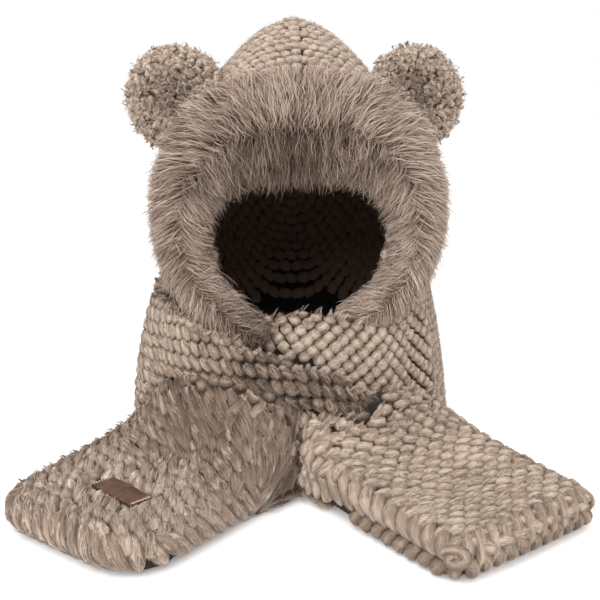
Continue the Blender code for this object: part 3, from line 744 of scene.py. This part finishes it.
def dressWrap():
    tree = treeOf("neck_wrap")
    allTufts = []
    for name, band in (("wrap", innerBand), ("crossing", crossBand)):
        found, tufts = bandLattice(tree, band)
        allTufts += tufts
        if band is crossBand:
            cap = crossingCap(tree)
            found += cap
            allTufts += cap
        places, ups, ways = (np.array(part) for part in zip(*found))
        # painted shade: the crossing is painted darker towards its end, where it lies in the shade of the fur
        tone = band["tone"] + band["paintedLight"] * np.clip((-0.04 - places[:, 0]) / 0.06, 0, 1)
        raised = places + ups * 0.0002
        kept = layStitches(name + "Stitches", raised, ups, ways, band["size"], band["slant"], tone)
        combFibres(name + "Fibres", *kept, each=band["comb"], tone=tone - 0.5)
        layFuzz(name + "Fuzz", *kept, each=wrap["fuzz"], length=wrap["fuzzLength"])
    makeTufts("bandTufts", allTufts, 0.0090)
    backing = copyOfNode("neck_wrap", "wrapBacking", cuts=1)
    keepPiece(backing, paintedShadeBase, 0.30)


tuft = {"strands": 13, "radius": 0.0032, "width": 0.0006, "spread": (1, 0.85, 0.5, 0.18),
        "tones": (0.3, 0.55, 0.75)}


def makeTufts(name, found, length):
    # two spiky tufts at each place, which stand up along the edge there
    share = np.linspace(0, 1, 4)
    curves, ups = [], []
    for place, up, along in np.repeat(np.array(found), 2, axis=0):
        along = unit(along)
        way = unit(up * 0.5 + along * chance.uniform(-0.2, 0.9) + upward * chance.uniform(0.3, 0.9))
        start = place + up * 0.0028 + along * chance.uniform(-0.006, 0.006)
        reach = length * chance.uniform(0.6, 1.2)
        curves.append([start + way * reach * s + along * reach * 0.3 * s * s for s in share])
        ups.append([up] * 4)
    growLocks(name, np.array(curves), np.array(ups), tuft["strands"], tuft["radius"], tuft["width"],
              tuft["spread"], knitFuzz, tuft["tones"])


dressWrap()


# Scarf ends

ends = {"radius": 0.1455, "reach": 0.168, "angle": math.radians(37.5), "shift": 0.012, "half": 0.083,
        "thick": 0.029}


def endWays(side):
    forward = np.array([side * math.sin(ends["angle"]), -math.cos(ends["angle"]), 0])
    sideways = np.array([-side * math.cos(ends["angle"]), -math.sin(ends["angle"]), 0])
    return forward, sideways


def rimPath(corner, step):
    # points round the free edge of an end, as (out, across, outward out, outward across), inner side first
    tip, half = ends["radius"] + ends["reach"], ends["half"]
    flatOut, flatAcross = tip - corner, half - corner
    turns = np.radians(np.arange(0, 90, math.degrees(step / corner)))
    spots = [(out, half, 0.0, 1.0) for out in np.arange(0.135, flatOut, step)]
    for s, c in zip(np.sin(turns), np.cos(turns)):
        spots.append((flatOut + corner * s, flatAcross + corner * c, s, c))
    spots += [(tip, across, 1.0, 0.0) for across in np.arange(flatAcross, -flatAcross, -step)]
    for s, c in zip(np.sin(turns), np.cos(turns)):
        spots.append((flatOut + corner * c, -flatAcross - corner * s, c, -s))
    spots += [(out, -half, 0.0, -1.0) for out in np.arange(flatOut, 0.135, -step)]
    return spots


def rimRibs(tree, side, corner, step, aim, start, stop, inset, lean, flip):
    # paths that wrap over the free edge, from the angle start above level down to stop
    forward, sideways = endWays(side)
    steps = 8
    paths, ups = [], []
    for out, across, nOut, nAcross in rimPath(corner, step):
        normal = forward * nOut + sideways * nAcross
        base = forward * out + sideways * (across + ends["shift"]) - normal * inset + upward * aim
        # the ribs lean along the edge, less so round the corners
        bend = 1 - 0.85 * (2 * nOut * nAcross) ** 2
        shift = np.cross(upward, normal) * lean * (1 - flip * nOut) * bend
        line, lifts = [], []
        for k, t in enumerate(np.radians(np.linspace(start, stop, steps))):
            way = normal * math.cos(t) + upward * math.sin(t)
            hit = strike(tree, base + shift * (k / (steps - 1) - 0.5), way, 0.06)
            if hit is None:
                break
            line.append(np.array(hit))
            lifts.append(way)
        if len(line) == steps and min(p[2] for p in line) > -0.004:
            paths.append(line)
            ups.append(lifts)
    return np.array(paths), np.array(ups)


ribbed = {"corner": 0.017, "row": 0.0092, "pitch": 0.0162, "size": (0.0186, 0.0130, 0.0118), "slant": 80,
          "wall": 0.0105, "tuftsAbove": 0.060, "step": 0.0134, "thick": 0.0148, "fuzz": 14,
          "fuzzLength": 0.0042, "comb": 14}
upperRibs = {"aim": 0.019, "start": 96, "stop": -24, "inset": 0.014, "lean": 0.020, "flip": 2}
lowerRibs = {"aim": 0.010, "start": 40, "stop": -42, "inset": 0.013, "lean": -0.014, "flip": 2}


def covered(place, others):
    hit = others.ray_cast(Vector((place[0], place[1], 0.45)), Vector((0, 0, -1)), 0.45)
    return hit[0] is not None and hit[0].z > place[2] + 0.004


def endRow(tree, others, side, across, pitch, offset):
    # places along one row of an end, evenly spaced over its surface from the tip to the root
    forward, sideways = endWays(side)
    line = []
    for out in np.arange(0.040, 0.3145, 0.0009):
        base = forward * out + sideways * (across + ends["shift"])
        hit = tree.ray_cast(Vector((base[0], base[1], 0.4)), Vector((0, 0, -1)), 0.4)
        if hit[0] is not None and hit[0].z > 0.006:
            line.append(np.array(hit[0]))
    if len(line) < 10:
        return []
    line = np.array(line)
    run = runOf(line)
    at = run[-1] - np.arange(offset, run[-1], pitch)
    ways = unit(spotsOn(line, run, at + 0.006) - spotsOn(line, run, at - 0.006))
    found = []
    for spot, way in zip(spotsOn(line, run, at), ways):
        if covered(spot + forward * (0.014 if side < 0 else 0.026), others):
            continue
        up = np.array(softNormal(tree, Vector(spot), 0.010))
        if up[2] > 0:
            found.append((spot, up, way))
    return found


def innerWall(tree, side, pitch):
    # places on the steep inner side of an end, near its root, where it faces the other end
    forward, sideways = endWays(side)
    found = []
    for row, height in enumerate(np.arange(0.008, 0.115, pitch)):
        for out in np.arange(0.055 + pitch * 0.5 * (row % 2), 0.205, pitch):
            base = forward * out + sideways * ends["shift"] + upward * height
            hit = strike(tree, base, sideways, 0.125)
            if hit is None or hit.z < 0.006:
                continue
            up = np.array(softNormal(tree, hit, 0.009))
            if up @ sideways < 0.1 or up[2] > 0.75 or (out > 0.168 and height < 0.034):
                continue
            found.append((np.array(hit), up, forward))
    return found


def dressRibbedEnd():
    tree, others = treeOf("ribbed_end"), treeOf("neck_wrap")
    found = []
    for row, across in enumerate(np.arange(-0.077, 0.078, ribbed["row"])):
        found += endRow(tree, others, 1, across, ribbed["pitch"], ribbed["pitch"] * 0.5 * (row % 2))
    found += innerWall(tree, 1, ribbed["wall"])
    roots = [(f[0], f[1], np.cross(f[1], f[2])) for f in found if f[0][2] > ribbed["tuftsAbove"]]
    makeTufts("ribbedRoot", roots, 0.0120)
    places, ups, ways = (np.array(part) for part in zip(*found))
    kept = layStitches("ribbedStitches", places + ups * 0.0004, ups, ways, ribbed["size"], ribbed["slant"])
    combFibres("ribbedFibres", *kept, each=ribbed["comb"])
    layFuzz("ribbedFuzz", *kept, each=ribbed["fuzz"], length=ribbed["fuzzLength"])
    upper = rimRibs(tree, 1, ribbed["corner"], ribbed["step"], **upperRibs)
    lower = rimRibs(tree, 1, ribbed["corner"], ribbed["step"], **lowerRibs)
    thinner = ribbed["thick"] * 0.86
    # painted shade: the lower ribs, under the upper rim, get a darker tone and darker fibres
    layRibs("ribbedRim", *upper, ribbed["thick"], tone=0.5)
    layRibs("ribbedRimBelow", *lower, thinner, tone=0.36)
    makeCurl()
    rimFuzz("ribbedRimFibres", upper, ribbed["thick"], 90)
    rimFuzz("ribbedBelowFibres", lower, thinner, 80, tone=-0.12)
    backing = copyOfNode("ribbed_end", "ribbedBacking", cuts=1)
    keepPiece(backing, paintedShadeBase, 0.32)


rolled = {"inset": 0.0058, "height": 0.0200, "turns": 1.15, "far": 0.0096, "near": 0.0028, "thick": 0.0086,
          "fibres": 320}


def makeCurl():
    # the rope's turned-in end at the corner nearest the camera
    forward, sideways = endWays(1)
    normal = unit(forward + sideways)
    tangent = np.cross(upward, normal)
    out = ends["radius"] + ends["reach"] - rolled["inset"]
    across = ends["half"] + ends["shift"] - rolled["inset"]
    middle = forward * out + sideways * across + upward * rolled["height"]
    path = []
    for s in np.linspace(0, 1, 18):
        t = math.pi * (0.9 - 2 * rolled["turns"] * s)
        far = rolled["far"] * (1 - s) + rolled["near"] * s
        swirl = tangent * math.cos(t) * far * 1.15 + upward * math.sin(t) * far * 0.8
        path.append(middle + swirl + normal * (0.0005 + 0.0035 * s))
    rope = np.array([path]), np.repeat(unit(normal + upward * 0.4)[None], len(path), axis=0)[None]
    layRibs("ribbedCurl", *rope, rolled["thick"], tone=0.40)
    rimFuzz("ribbedCurlFibres", rope, rolled["thick"], rolled["fibres"])


def rimFuzz(name, rim, thick, each, material=knitFuzz, tone=0.0):
    # fibres combed along the ribs of a free edge
    paths, ups = rim
    last = paths.shape[1] - 1
    share = np.array([0, 0.4, 0.75, 1.0])[None]
    rows = np.repeat(np.arange(len(paths)), each)[:, None]
    count = len(rows)
    at = (chance.uniform(0, 0.76, (count, 1)) + chance.uniform(0.16, 0.24, (count, 1)) * share) * last
    line = stepsOn(paths, rows, at)
    lift = unit(stepsOn(ups, rows, at))
    sides = unit(np.cross(lift, np.gradient(line, axis=1)))
    turn = chance.uniform(-1.35, 1.35, (count, 1)) + chance.normal(0, 0.15, (count, 1)) * share
    swell = (np.sin(0.12 + at / last * (math.pi - 0.24)) ** 0.45 * thick / 2 * 1.03)[..., None]
    outward, aside = lift * np.cos(turn)[..., None], sides * np.sin(turn)[..., None]
    line = line + aside * swell + outward * swell * 0.85
    line = line + (aside + outward) * (0.0002 + 0.0008 * share ** 2)[..., None]
    shade = np.array(fibres["rimTones"])[None] + tone + chance.normal(0, 0.07, (count, 1))
    # painted shade: darker on the rib's sides
    shade = shade - fibres["paintedSideShade"] * np.abs(turn)
    strandMesh(name, line, aside + outward, fibres["combWidth"], shade, material)


dressRibbedEnd()


fleece = {"side": -1, "corner": 0.036, "row": 0.0112, "pitch": 0.0140, "length": 0.0200, "strands": 14,
          "comb": 26, "clump": (0.0225, 0.0130, 0.0108), "wall": 0.0098, "step": 0.0136,
          "thick": 0.0142, "fibres": 110}
fleeceRibs = {"aim": 0.015, "start": 84, "stop": -44, "inset": 0.014, "lean": 0.034, "flip": 0}


def dressFleeceEnd():
    tree, others = treeOf("fleece_end"), treeOf("neck_wrap")
    share = np.linspace(0, 1, 5)
    found = []
    for across in np.arange(-0.080, 0.081, fleece["row"]):
        found += endRow(tree, others, -1, across, fleece["pitch"], fleece["pitch"] * chance.uniform(0, 1))
    found += innerWall(tree, -1, fleece["wall"])
    spots = np.array([f[0] for f in found])
    ups = unit(np.array([f[1] for f in found]))
    forwards = unit(np.array([f[2] for f in found]))
    sides = np.cross(ups, forwards)
    # the pile is combed down the scarf and a little to the right, with slow swirls
    lean = 0.78 + 0.26 * np.sin(spots[:, 0] * 42 + 1) * np.sin(spots[:, 1] * 36)
    lean = lean + chance.normal(0, 0.08, len(spots))
    ways = unit(forwards * np.cos(lean)[:, None] + sides * np.sin(lean)[:, None])
    sunk = np.where(nearPatch(spots, -0.0060), -0.0034, 0.0004)
    # longer locks where the end rises steeply to its root
    nearRoot = np.clip((0.225 - spots @ endWays(-1)[0]) / 0.04, 0, 1)
    longer = 1 + 0.9 * np.clip(1 - ups[:, 2:3], 0, 1) * nearRoot[:, None]
    sizes = np.array(fleece["clump"]) * np.concatenate([longer, np.ones((len(spots), 2))], axis=1)
    # painted shade: clumps, fibres and pile darker towards the root, where the end dips into a hollow
    kept = layStitches("fleeceClumps", spots + ups * sunk[:, None], ups, ways, sizes,
                       tone=0.43 - 0.14 * nearRoot, material=fleecePile, slotName="fleece")
    combFibres("fleeceFibres", *kept, each=fleece["comb"], material=fleecePile, slotName="fleece",
               width=0.0006, flare=0.0010, tone=0.14 - 0.16 * nearRoot, mottle=0.06)
    reach = fleece["length"] * longer * chance.uniform(0.8, 1.2, (len(spots), 1))
    bend = np.cross(ups, ways) * chance.normal(0, 0.18, (len(spots), 1))
    starts = spots - ways * 0.0085 * longer + ups * 0.0032
    curves = []
    for s in share:
        arch = 0.0030 * math.sin(min(1.0, s * 1.15) * math.pi)
        curves.append(starts + ways * reach * s + bend * reach * s * s + ups * arch)
    curves = np.stack(curves, axis=1)
    clear = ~nearPatch(curves[:, 0], -0.002) & ~nearPatch(curves[:, 2], -0.002)
    clear = clear & ~nearPatch(curves[:, 4], 0.001)
    lifts = np.repeat(ups[:, None], 5, axis=1)
    spread, tones = (0.8, 1, 0.9, 0.7, 0.4), (0.24, 0.48, 0.60, 0.66, 0.72)
    growLocks("fleecePile", curves[clear], lifts[clear], fleece["strands"], 0.0052, 0.0006, spread,
              fleecePile, tones, wave=0.0004, mottle=0.06, shift=-0.16 * nearRoot[clear])
    rim = rimRibs(tree, -1, fleece["corner"], fleece["step"], **fleeceRibs)
    layRibs("fleeceRim", *rim, fleece["thick"], material=fleecePile, slotName="fleece", tone=0.50)
    rimFuzz("fleeceRimFibres", rim, fleece["thick"], fleece["fibres"], material=fleecePile)
    backing = copyOfNode("fleece_end", "fleeceBacking", cuts=1)
    keepPiece(backing, paintedShadeBase, 0.30)


patch = {"length": 0.056, "width": 0.022, "thick": 0.002, "lift": 0.0018, "fromTip": 0.058, "aside": 0.008,
         "turn": math.radians(-7.5), "edge": 0.0007, "stitch": 0.0024}


def patchFrame():
    forward, sideways = endWays(fleece["side"])
    out = ends["radius"] + ends["reach"] - patch["fromTip"]
    centre = forward * out + sideways * (ends["shift"] + patch["aside"])
    centre = centre + upward * (ends["thick"] + patch["lift"] - patch["thick"] / 2 + 0.0030)
    heading = math.atan2(sideways[1], sideways[0]) + patch["turn"]
    return centre, heading


def nearPatch(points, margin):
    centre, heading = patchFrame()
    away = points - centre
    along = away[:, 0] * math.cos(heading) + away[:, 1] * math.sin(heading)
    across = -away[:, 0] * math.sin(heading) + away[:, 1] * math.cos(heading)
    return (np.abs(along) < patch["length"] / 2 - margin) & (np.abs(across) < patch["width"] / 2 - margin)


def leatherMaterial():
    material = bpy.data.materials.new("brownLeather")
    material.use_nodes = True
    tree = material.node_tree
    shader = tree.nodes["Principled BSDF"]
    place = nodesOf(tree, "ShaderNodeTexCoord")
    pores = nodesOf(tree, "ShaderNodeTexVoronoi", feature="DISTANCE_TO_EDGE")
    pores.inputs["Scale"].default_value = 900
    cloud = nodesOf(tree, "ShaderNodeTexNoise")
    cloud.inputs["Scale"].default_value = 120
    cloud.inputs["Detail"].default_value = 5
    ramp = nodesOf(tree, "ShaderNodeValToRGB")
    ramp.color_ramp.elements[0].position = 0.3
    ramp.color_ramp.elements[0].color = linear(56, 34, 24)
    ramp.color_ramp.elements[1].position = 0.72
    ramp.color_ramp.elements[1].color = linear(106, 72, 54)
    rough = nodesOf(tree, "ShaderNodeMapRange")
    rough.inputs["To Min"].default_value = 0.42
    rough.inputs["To Max"].default_value = 0.66
    raised = nodesOf(tree, "ShaderNodeBump")
    raised.inputs["Strength"].default_value = 0.35
    raised.inputs["Distance"].default_value = 0.0004
    link = tree.links.new
    link(place.outputs["Object"], pores.inputs["Vector"])
    link(place.outputs["Object"], cloud.inputs["Vector"])
    link(cloud.outputs["Fac"], ramp.inputs["Fac"])
    link(ramp.outputs["Color"], shader.inputs["Base Color"])
    link(cloud.outputs["Fac"], rough.inputs["Value"])
    link(rough.outputs["Result"], shader.inputs["Roughness"])
    link(pores.outputs["Distance"], raised.inputs["Height"])
    link(raised.outputs["Normal"], shader.inputs["Normal"])
    return material


def makePatch():
    # a bare leather patch with a rolled edge, sewn down along its short ends
    centre, heading = patchFrame()
    bpy.ops.mesh.primitive_cube_add(size=1)
    obj = bpy.context.object
    obj.name = "leatherPatch"
    obj.data.name = "leatherPatch"
    obj.scale = (patch["length"], patch["width"], patch["thick"])
    bpy.ops.object.transform_apply(location=False, rotation=False, scale=True)
    bpy.ops.object.mode_set(mode="EDIT")
    bpy.ops.mesh.select_all(action="SELECT")
    bpy.ops.mesh.bevel(offset=patch["edge"], segments=3)
    bpy.ops.mesh.select_all(action="SELECT")
    bpy.ops.mesh.subdivide(number_cuts=3)
    bpy.ops.object.mode_set(mode="OBJECT")
    for vertex in obj.data.vertices:
        x, y = vertex.co.x / patch["length"], vertex.co.y / patch["width"]
        vertex.co.z += 0.0016 * (0.25 - x * x) - 0.0007 * y * y * 4 + 0.0004 * math.sin(x * 9 + y * 5)
    obj.location = centre
    obj.rotation_euler = (0, 0, heading)
    bpy.ops.object.transform_apply(location=True, rotation=True, scale=False)
    bpy.ops.object.shade_smooth_by_angle(angle=math.radians(50))
    obj.select_set(False)
    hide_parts("leather_patch")
    keepPiece(obj, leatherMaterial())
    thread = clothMaterial("patchThread", ((0, 120, 98, 82), (0.5, 176, 154, 136), (1, 214, 196, 180)),
                           bump=0.1)
    spots, ways = [], []
    along = np.array([math.cos(heading), math.sin(heading), 0])
    across = np.array([-math.sin(heading), math.cos(heading), 0])
    for end in (-1, 1):
        for t in np.arange(-0.0085, 0.0086, patch["stitch"]):
            spots.append(centre + along * end * (patch["length"] / 2 - 0.0016) + across * t + upward * 0.0010)
            ways.append(along * end + across * 0.25)
    layStitches("patchStitches", spots, [upward] * len(spots), ways, (0.0036, 0.0010, 0.0010), tone=0.7,
                material=thread, slotName="leather")


dressFleeceEnd()
makePatch()


# Fur round the face

# middle line of the fur from lower left round to lower right: x, y, z, half width, half depth
furPath = np.array((
    (-.037, -.131, .141, .010, .0075), (-.047, -.127, .146, .0125, .010), (-.073, -.112, .160, .016, .014),
    (-.0935, -.091, .180, .0195, .018), (-.1035, -.077, .205, .022, .021), (-.106, -.068, .233, .025, .023),
    (-.0995, -.065, .263, .0305, .025), (-.081, -.071, .290, .039, .027), (-.056, -.081, .309, .044, .029),
    (-.027, -.088, .316, .046, .029), (0, -.0895, .318, .046, .029), (.027, -.088, .316, .046, .029),
    (.056, -.081, .309, .044, .029), (.081, -.071, .290, .039, .027), (.0995, -.065, .263, .0305, .025),
    (.106, -.067, .233, .025, .023), (.1035, -.073, .205, .022, .021), (.0935, -.081, .180, .0195, .018),
    (.073, -.095, .160, .016, .014), (.047, -.1045, .146, .0125, .010), (.037, -.106, .141, .010, .0075)))
fur = {"backing": 0.80, "strandWidth": 0.0005, "droop": 0.021, "innerDroop": 0.020}
furRun = runOf(furPath[:, :3])


def furRow(run):
    return np.stack([np.interp(run, furRun, furPath[:, i]) for i in range(5)], axis=-1)


def furSurface(run, turn, lift):
    # a point of the fur's skin: run along the path, turn from the front outwards, lift along the normal
    run = np.asarray(run, float)
    row = furRow(run)
    tangent = unit(furRow(run + 0.006)[..., :3] - furRow(run - 0.006)[..., :3])
    front = np.broadcast_to(np.array([0.0, -1.0, 0.0]), tangent.shape)
    side = unit(np.cross(front, tangent))
    turn = np.asarray(turn, float)[..., None]
    wide, deep = row[..., 3:4] * fur["backing"], row[..., 4:5] * fur["backing"]
    normal = unit(side * np.sin(turn) * deep + front * np.cos(turn) * wide)
    point = row[..., :3] + side * np.sin(turn) * wide + front * np.cos(turn) * deep
    return turnHood(point + normal * np.asarray(lift, float)[..., None]), turnHood(normal)


def makeFurBacking():
    runs = np.linspace(0, furRun[-1], 72)
    turns = np.linspace(0, 2 * math.pi, 20, endpoint=False)
    points = np.array([furSurface(np.full(20, r), turns, np.zeros(20))[0] for r in runs])
    faces = []
    for k in range(71):
        for j in range(20):
            a, b = k * 20 + j, k * 20 + (j + 1) % 20
            faces += [(a, a + 20, b + 20), (a, b + 20, b)]
    flat = points.reshape(-1, 3)
    flat = np.concatenate([flat, points[0].mean(0)[None], points[-1].mean(0)[None]])
    for j in range(20):
        faces.append((1440, j, (j + 1) % 20))
        faces.append((1441, 1420 + (j + 1) % 20, 1420 + j))
    # painted shade: the skin under the fur is painted dark, as the shade between the locks
    obj = addMesh("furBacking", flat, faces, furHair, np.full(len(flat), 0.16))
    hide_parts("fur_trim")


def furLayer(name, rows, strands, outward, gap, spread, tones, stray, top=0.0, base=0.0):
    # shingled rows of locks from the crest, outwards over the hood or inwards over the face opening
    share = np.linspace(0, 1, 5)
    sign = 1 if outward else -1
    middle = furRun[-1] / 2
    curves, lifts, shifts = [], [], []
    for turn0, spanTurn, rise, length in rows:
        runs = np.arange(0.002, furRun[-1] - 0.002, gap)
        runs = runs + chance.uniform(-0.5, 0.5, len(runs)) * gap
        half = np.maximum(furRow(runs)[:, 3], 0.008)
        flow = 0.6 * np.sin(runs * 95 + turn0 * 5) + 0.4 * np.sin(runs * 223 + turn0 * 11)
        away = np.abs(runs - middle)
        # shorter beside and below the face, so that its opening stays wide
        if not outward:
            length = length * np.interp(away, (0.10, 0.17, 0.25, 0.31), (1, 0.66, 0.50, 0.50))
        # down the sides the locks droop
        droop = np.clip(away / 0.10, 0, 1) * (fur["droop"] if outward else fur["innerDroop"])
        slide = np.where(runs < middle, -1.0, 1.0) * droop + flow * 0.006 + chance.normal(0, stray, len(runs))
        reach = length * chance.uniform(0.75, 1.2, len(runs))
        arc = reach / half * spanTurn
        first = turn0 + chance.normal(0, 0.08, len(runs))
        turns = first[:, None] + (arc + chance.normal(0, 0.10, len(runs)))[:, None] * share[None]
        most = max(2.1, turn0 + 0.8) if outward else np.interp(away, (0.10, 0.17, 0.30), (1.75, 1.30, 1.10))
        turns = np.minimum(turns, np.reshape(most, (-1, 1)))
        run = runs[:, None] + slide[:, None] * share[None] ** 1.2
        scale = np.clip(half / 0.032, 0.4, 1.0)[:, None]
        if not outward:
            scale = scale * np.interp(away, (0.10, 0.17, 0.30), (1, 0.5, 0.4))[:, None]
        lift = 0.0004 + rise * scale * np.sin(share[None] * 1.9)
        lift = lift + chance.normal(0, 0.0012, (len(runs), 1)) * share[None]
        points, normals = furSurface(run, sign * turns, np.maximum(lift, 0.0002))
        high = np.clip(1 - away / 0.13, 0, 1)[:, None]
        if not outward:
            # over the forehead the inner tips hang down over the opening
            points[:, :, 2] -= (0.010 * high * share[None] ** 2) * np.clip(turn0, 0, 1)
            points[:, :, 1] -= (0.006 * high * share[None] ** 1.5) * np.clip(turn0, 0, 1)
        curves.append(points)
        lifts.append(normals)
        # painted light and shade: a little lighter on the right, where more light falls, darker at the lower
        # left end, where it tucks in, and by top lighter on the outer crown and darker on the inner crown,
        # which faces down
        shade = 0.07 * np.clip((runs - middle) / 0.10, 0, 1)
        shade = shade - 0.26 * np.clip((middle - runs - 0.235) / 0.05, 0, 1)
        shifts.append(base + top * high[:, 0] + 0.07 * flow + shade)
    growLocks(name, np.concatenate(curves), np.concatenate(lifts), strands, 0.0046, fur["strandWidth"],
              spread, furHair, tones, wave=0.0009, shorter=0.55, shift=np.concatenate(shifts))


def makeFur():
    makeFurBacking()
    # each row: start from the crest, how fast it turns over the edge, lift, length
    outer = ((1.30, 0.7, 0.007, 0.028), (0.90, 0.75, 0.008, 0.032), (0.50, 0.75, 0.009, 0.035),
             (0.06, 0.8, 0.010, 0.036))
    inner = ((1.10, 0.6, 0.007, 0.026), (0.75, 0.7, 0.008, 0.028), (0.38, 0.75, 0.009, 0.029),
             (0.02, 0.8, 0.010, 0.030))
    soft, colours = (0.8, 1.2, 1.4, 1.3, 1.1), (0.12, 0.32, 0.48, 0.60, 0.80)
    furLayer("furOuter", outer, 28, True, 0.0036, soft, colours, 0.003, top=0.06, base=0.03)
    furLayer("furInner", inner, 25, False, 0.0036, soft, colours, 0.003, top=-0.38, base=0.05)
    # short fur behind the crest's outer edge, down to the hood
    behind = ((2.60, 0.7, 0.004, 0.018), (2.15, 0.7, 0.005, 0.022), (1.70, 0.7, 0.006, 0.026))
    furLayer("furBehind", behind, 12, True, 0.0042, soft, colours, 0.003, base=0.03)
    # long pale guard hairs, which stray past the rest
    guardRows = ((1.15, 0.6, 0.012, 0.034), (0.7, 0.65, 0.013, 0.038), (0.25, 0.7, 0.014, 0.040),
                 (-0.15, 0.8, 0.014, 0.036))
    pale = (0.35, 0.50, 0.62, 0.74, 0.88)
    furLayer("furGuardOuter", guardRows, 7, True, 0.0030, (0.8, 1.4, 1.9, 2.1, 2.2), pale, 0.006, top=0.06,
             base=0.02)
    furLayer("furGuardInner", guardRows, 6, False, 0.0030, (0.8, 1.4, 1.8, 2.0, 2.1), pale, 0.006, top=-0.30)


makeFur()


# Ears

ears = {"curls": 900, "strands": 4, "lump": 0.0016, "apart": 0.0050, "clump": (0.0088, 0.0066, 0.0062),
        "fuzz": 30, "fuzzLength": 0.0040, "comb": 10}


def dressEar(node, name, side):
    low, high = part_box(node)
    centre = (np.array(low) + np.array(high)) / 2
    obj = copyOfNode(node, name, cuts=2)
    points, normals = pointsOf(obj), normalsOf(obj)
    waves = (260, 340, 420, 520, 640)
    lump = sum(np.sin(points @ chance.normal(0, f, 3) + chance.uniform(0, 6)) for f in waves) / len(waves)
    points = points + normals * (lump * ears["lump"])[:, None]
    obj.data.vertices.foreach_set("co", points.astype(np.float32).ravel())
    obj.data.update()
    turn = math.radians(3 + side * 12)
    front = np.array([math.sin(turn), -math.cos(turn), 0])
    across = np.array([math.cos(turn), math.sin(turn), 0])

    def faceShade(p, n):
        away = np.hypot((p - centre) @ across, (p - centre)[:, 2]) / 0.046
        facing = np.clip(n @ front * 1.6, 0, 1)
        return 0.86 - 0.30 * facing * np.clip(1.3 - away * 1.1, 0, 1)

    # painted shade: the ear's base is painted darker than its clumps, as the shade between them
    keepPiece(obj, earPlush, faceShade(points, normals) - 0.40)
    chosen = []
    for i in chance.permutation(len(points)):
        if not chosen or np.min(np.linalg.norm(points[chosen] - points[i], axis=1)) > ears["apart"]:
            chosen.append(i)
    random = chance.normal(0, 1, (len(chosen), 3))
    shades = faceShade(points[chosen], normals[chosen])
    kept = layStitches(name + "Clumps", points[chosen] - normals[chosen] * 0.0006, normals[chosen], random,
                       ears["clump"], tone=shades, material=earPlush, slotName="plush")
    combFibres(name + "Fibres", *kept, each=ears["comb"], material=earPlush, slotName="plush", width=0.0006,
               flare=0.0020, tone=shades - 0.44)
    layFuzz(name + "Fuzz", *kept, each=ears["fuzz"], length=ears["fuzzLength"], material=earPlush,
            slotName="plush", tone=shades - 0.1)
    pick = chance.integers(0, len(points), ears["curls"])
    spots = points[pick] + chance.normal(0, 0.0012, (len(pick), 3))
    ups = unit(normals[pick] + chance.normal(0, 0.15, (len(pick), 3)))
    share = np.linspace(0, 1, 6)
    flat = unit(np.cross(ups, chance.normal(0, 1, (len(pick), 3))))
    other = np.cross(ups, flat)
    curl = chance.uniform(2.5, 5.0, (len(pick), 1)) * chance.choice([-1, 1], (len(pick), 1))
    size = chance.uniform(0.0013, 0.0026, (len(pick), 1))
    curves = []
    for s in share:
        swirl = flat * (np.sin(curl * s) * size) + other * ((1 - np.cos(curl * s)) * size)
        curves.append(spots + swirl + ups * (0.0008 + 0.0040 * math.sin(s * 2.2)))
    curves = np.stack(curves, axis=1)
    lifts = np.repeat(ups[:, None], 6, axis=1)
    growLocks(name + "Curls", curves, lifts, ears["strands"], 0.0011, 0.0009, (1, 1, 0.9, 0.7, 0.4), earPlush,
              (-0.15, -0.02, 0.06, 0.1), wave=0.0005, shorter=0.7, shift=faceShade(spots, ups))


dressEar("ear_left", "earLeft", -1)
dressEar("ear_right", "earRight", 1)


# Stage

stage = {"sun": 2.5, "sunAngle": math.radians(64), "sunTurn": (math.radians(34), math.radians(-14), 0),
         "sky": 0.74, "glow": 0.22}
shot = {"tilt": math.radians(14), "target": (0.004, 0, 0.138), "away": 0.96, "lens": 57.78}


def makeStage():
    bpy.ops.mesh.primitive_plane_add(size=8, location=(0, 0, -0.0004))
    floor = bpy.context.object
    floor.name = "floor"
    material = bpy.data.materials.new("paleFloor")
    material.use_nodes = True
    shader = material.node_tree.nodes["Principled BSDF"]
    shader.inputs["Base Color"].default_value = (0.93, 0.93, 0.93, 1)
    shader.inputs["Roughness"].default_value = 0.9
    shader.inputs["Emission Color"].default_value = (1, 1, 1, 1)
    shader.inputs["Emission Strength"].default_value = stage["glow"]
    floor.data.materials.append(material)
    floor.select_set(False)
    world = bpy.data.worlds.new("studio")
    bpy.context.scene.world = world
    world.use_nodes = True
    tree = world.node_tree
    light = tree.nodes["Background"]
    light.inputs["Strength"].default_value = stage["sky"]
    light.inputs["Color"].default_value = (1, 1, 1, 1)
    backdrop = nodesOf(tree, "ShaderNodeBackground")
    path = nodesOf(tree, "ShaderNodeLightPath")
    either = nodesOf(tree, "ShaderNodeMixShader")
    tree.links.new(path.outputs["Is Camera Ray"], either.inputs[0])
    tree.links.new(light.outputs[0], either.inputs[1])
    tree.links.new(backdrop.outputs[0], either.inputs[2])
    tree.links.new(either.outputs[0], tree.nodes["World Output"].inputs["Surface"])
    backdrop.inputs["Color"].default_value = (1, 1, 1, 1)
    sun = bpy.data.lights.new("softSun", "SUN")
    sun.energy = stage["sun"]
    sun.angle = stage["sunAngle"]
    sunObject = bpy.data.objects.new("softSun", sun)
    sunObject.rotation_euler = stage["sunTurn"]
    bpy.context.scene.collection.objects.link(sunObject)
    bpy.context.scene.view_settings.view_transform = "Standard"


def makeCamera():
    back = Vector((0, -math.cos(shot["tilt"]), math.sin(shot["tilt"])))
    data = bpy.data.cameras.new("camera")
    data.sensor_width = 36
    data.lens = shot["lens"]
    camera = bpy.data.objects.new("camera", data)
    camera.location = Vector(shot["target"]) + back * shot["away"]
    camera.rotation_euler = (math.radians(90) - shot["tilt"], 0, 0)
    bpy.context.scene.collection.objects.link(camera)
    bpy.context.scene.camera = camera


makeStage()
makeCamera()
print("stage and camera made")
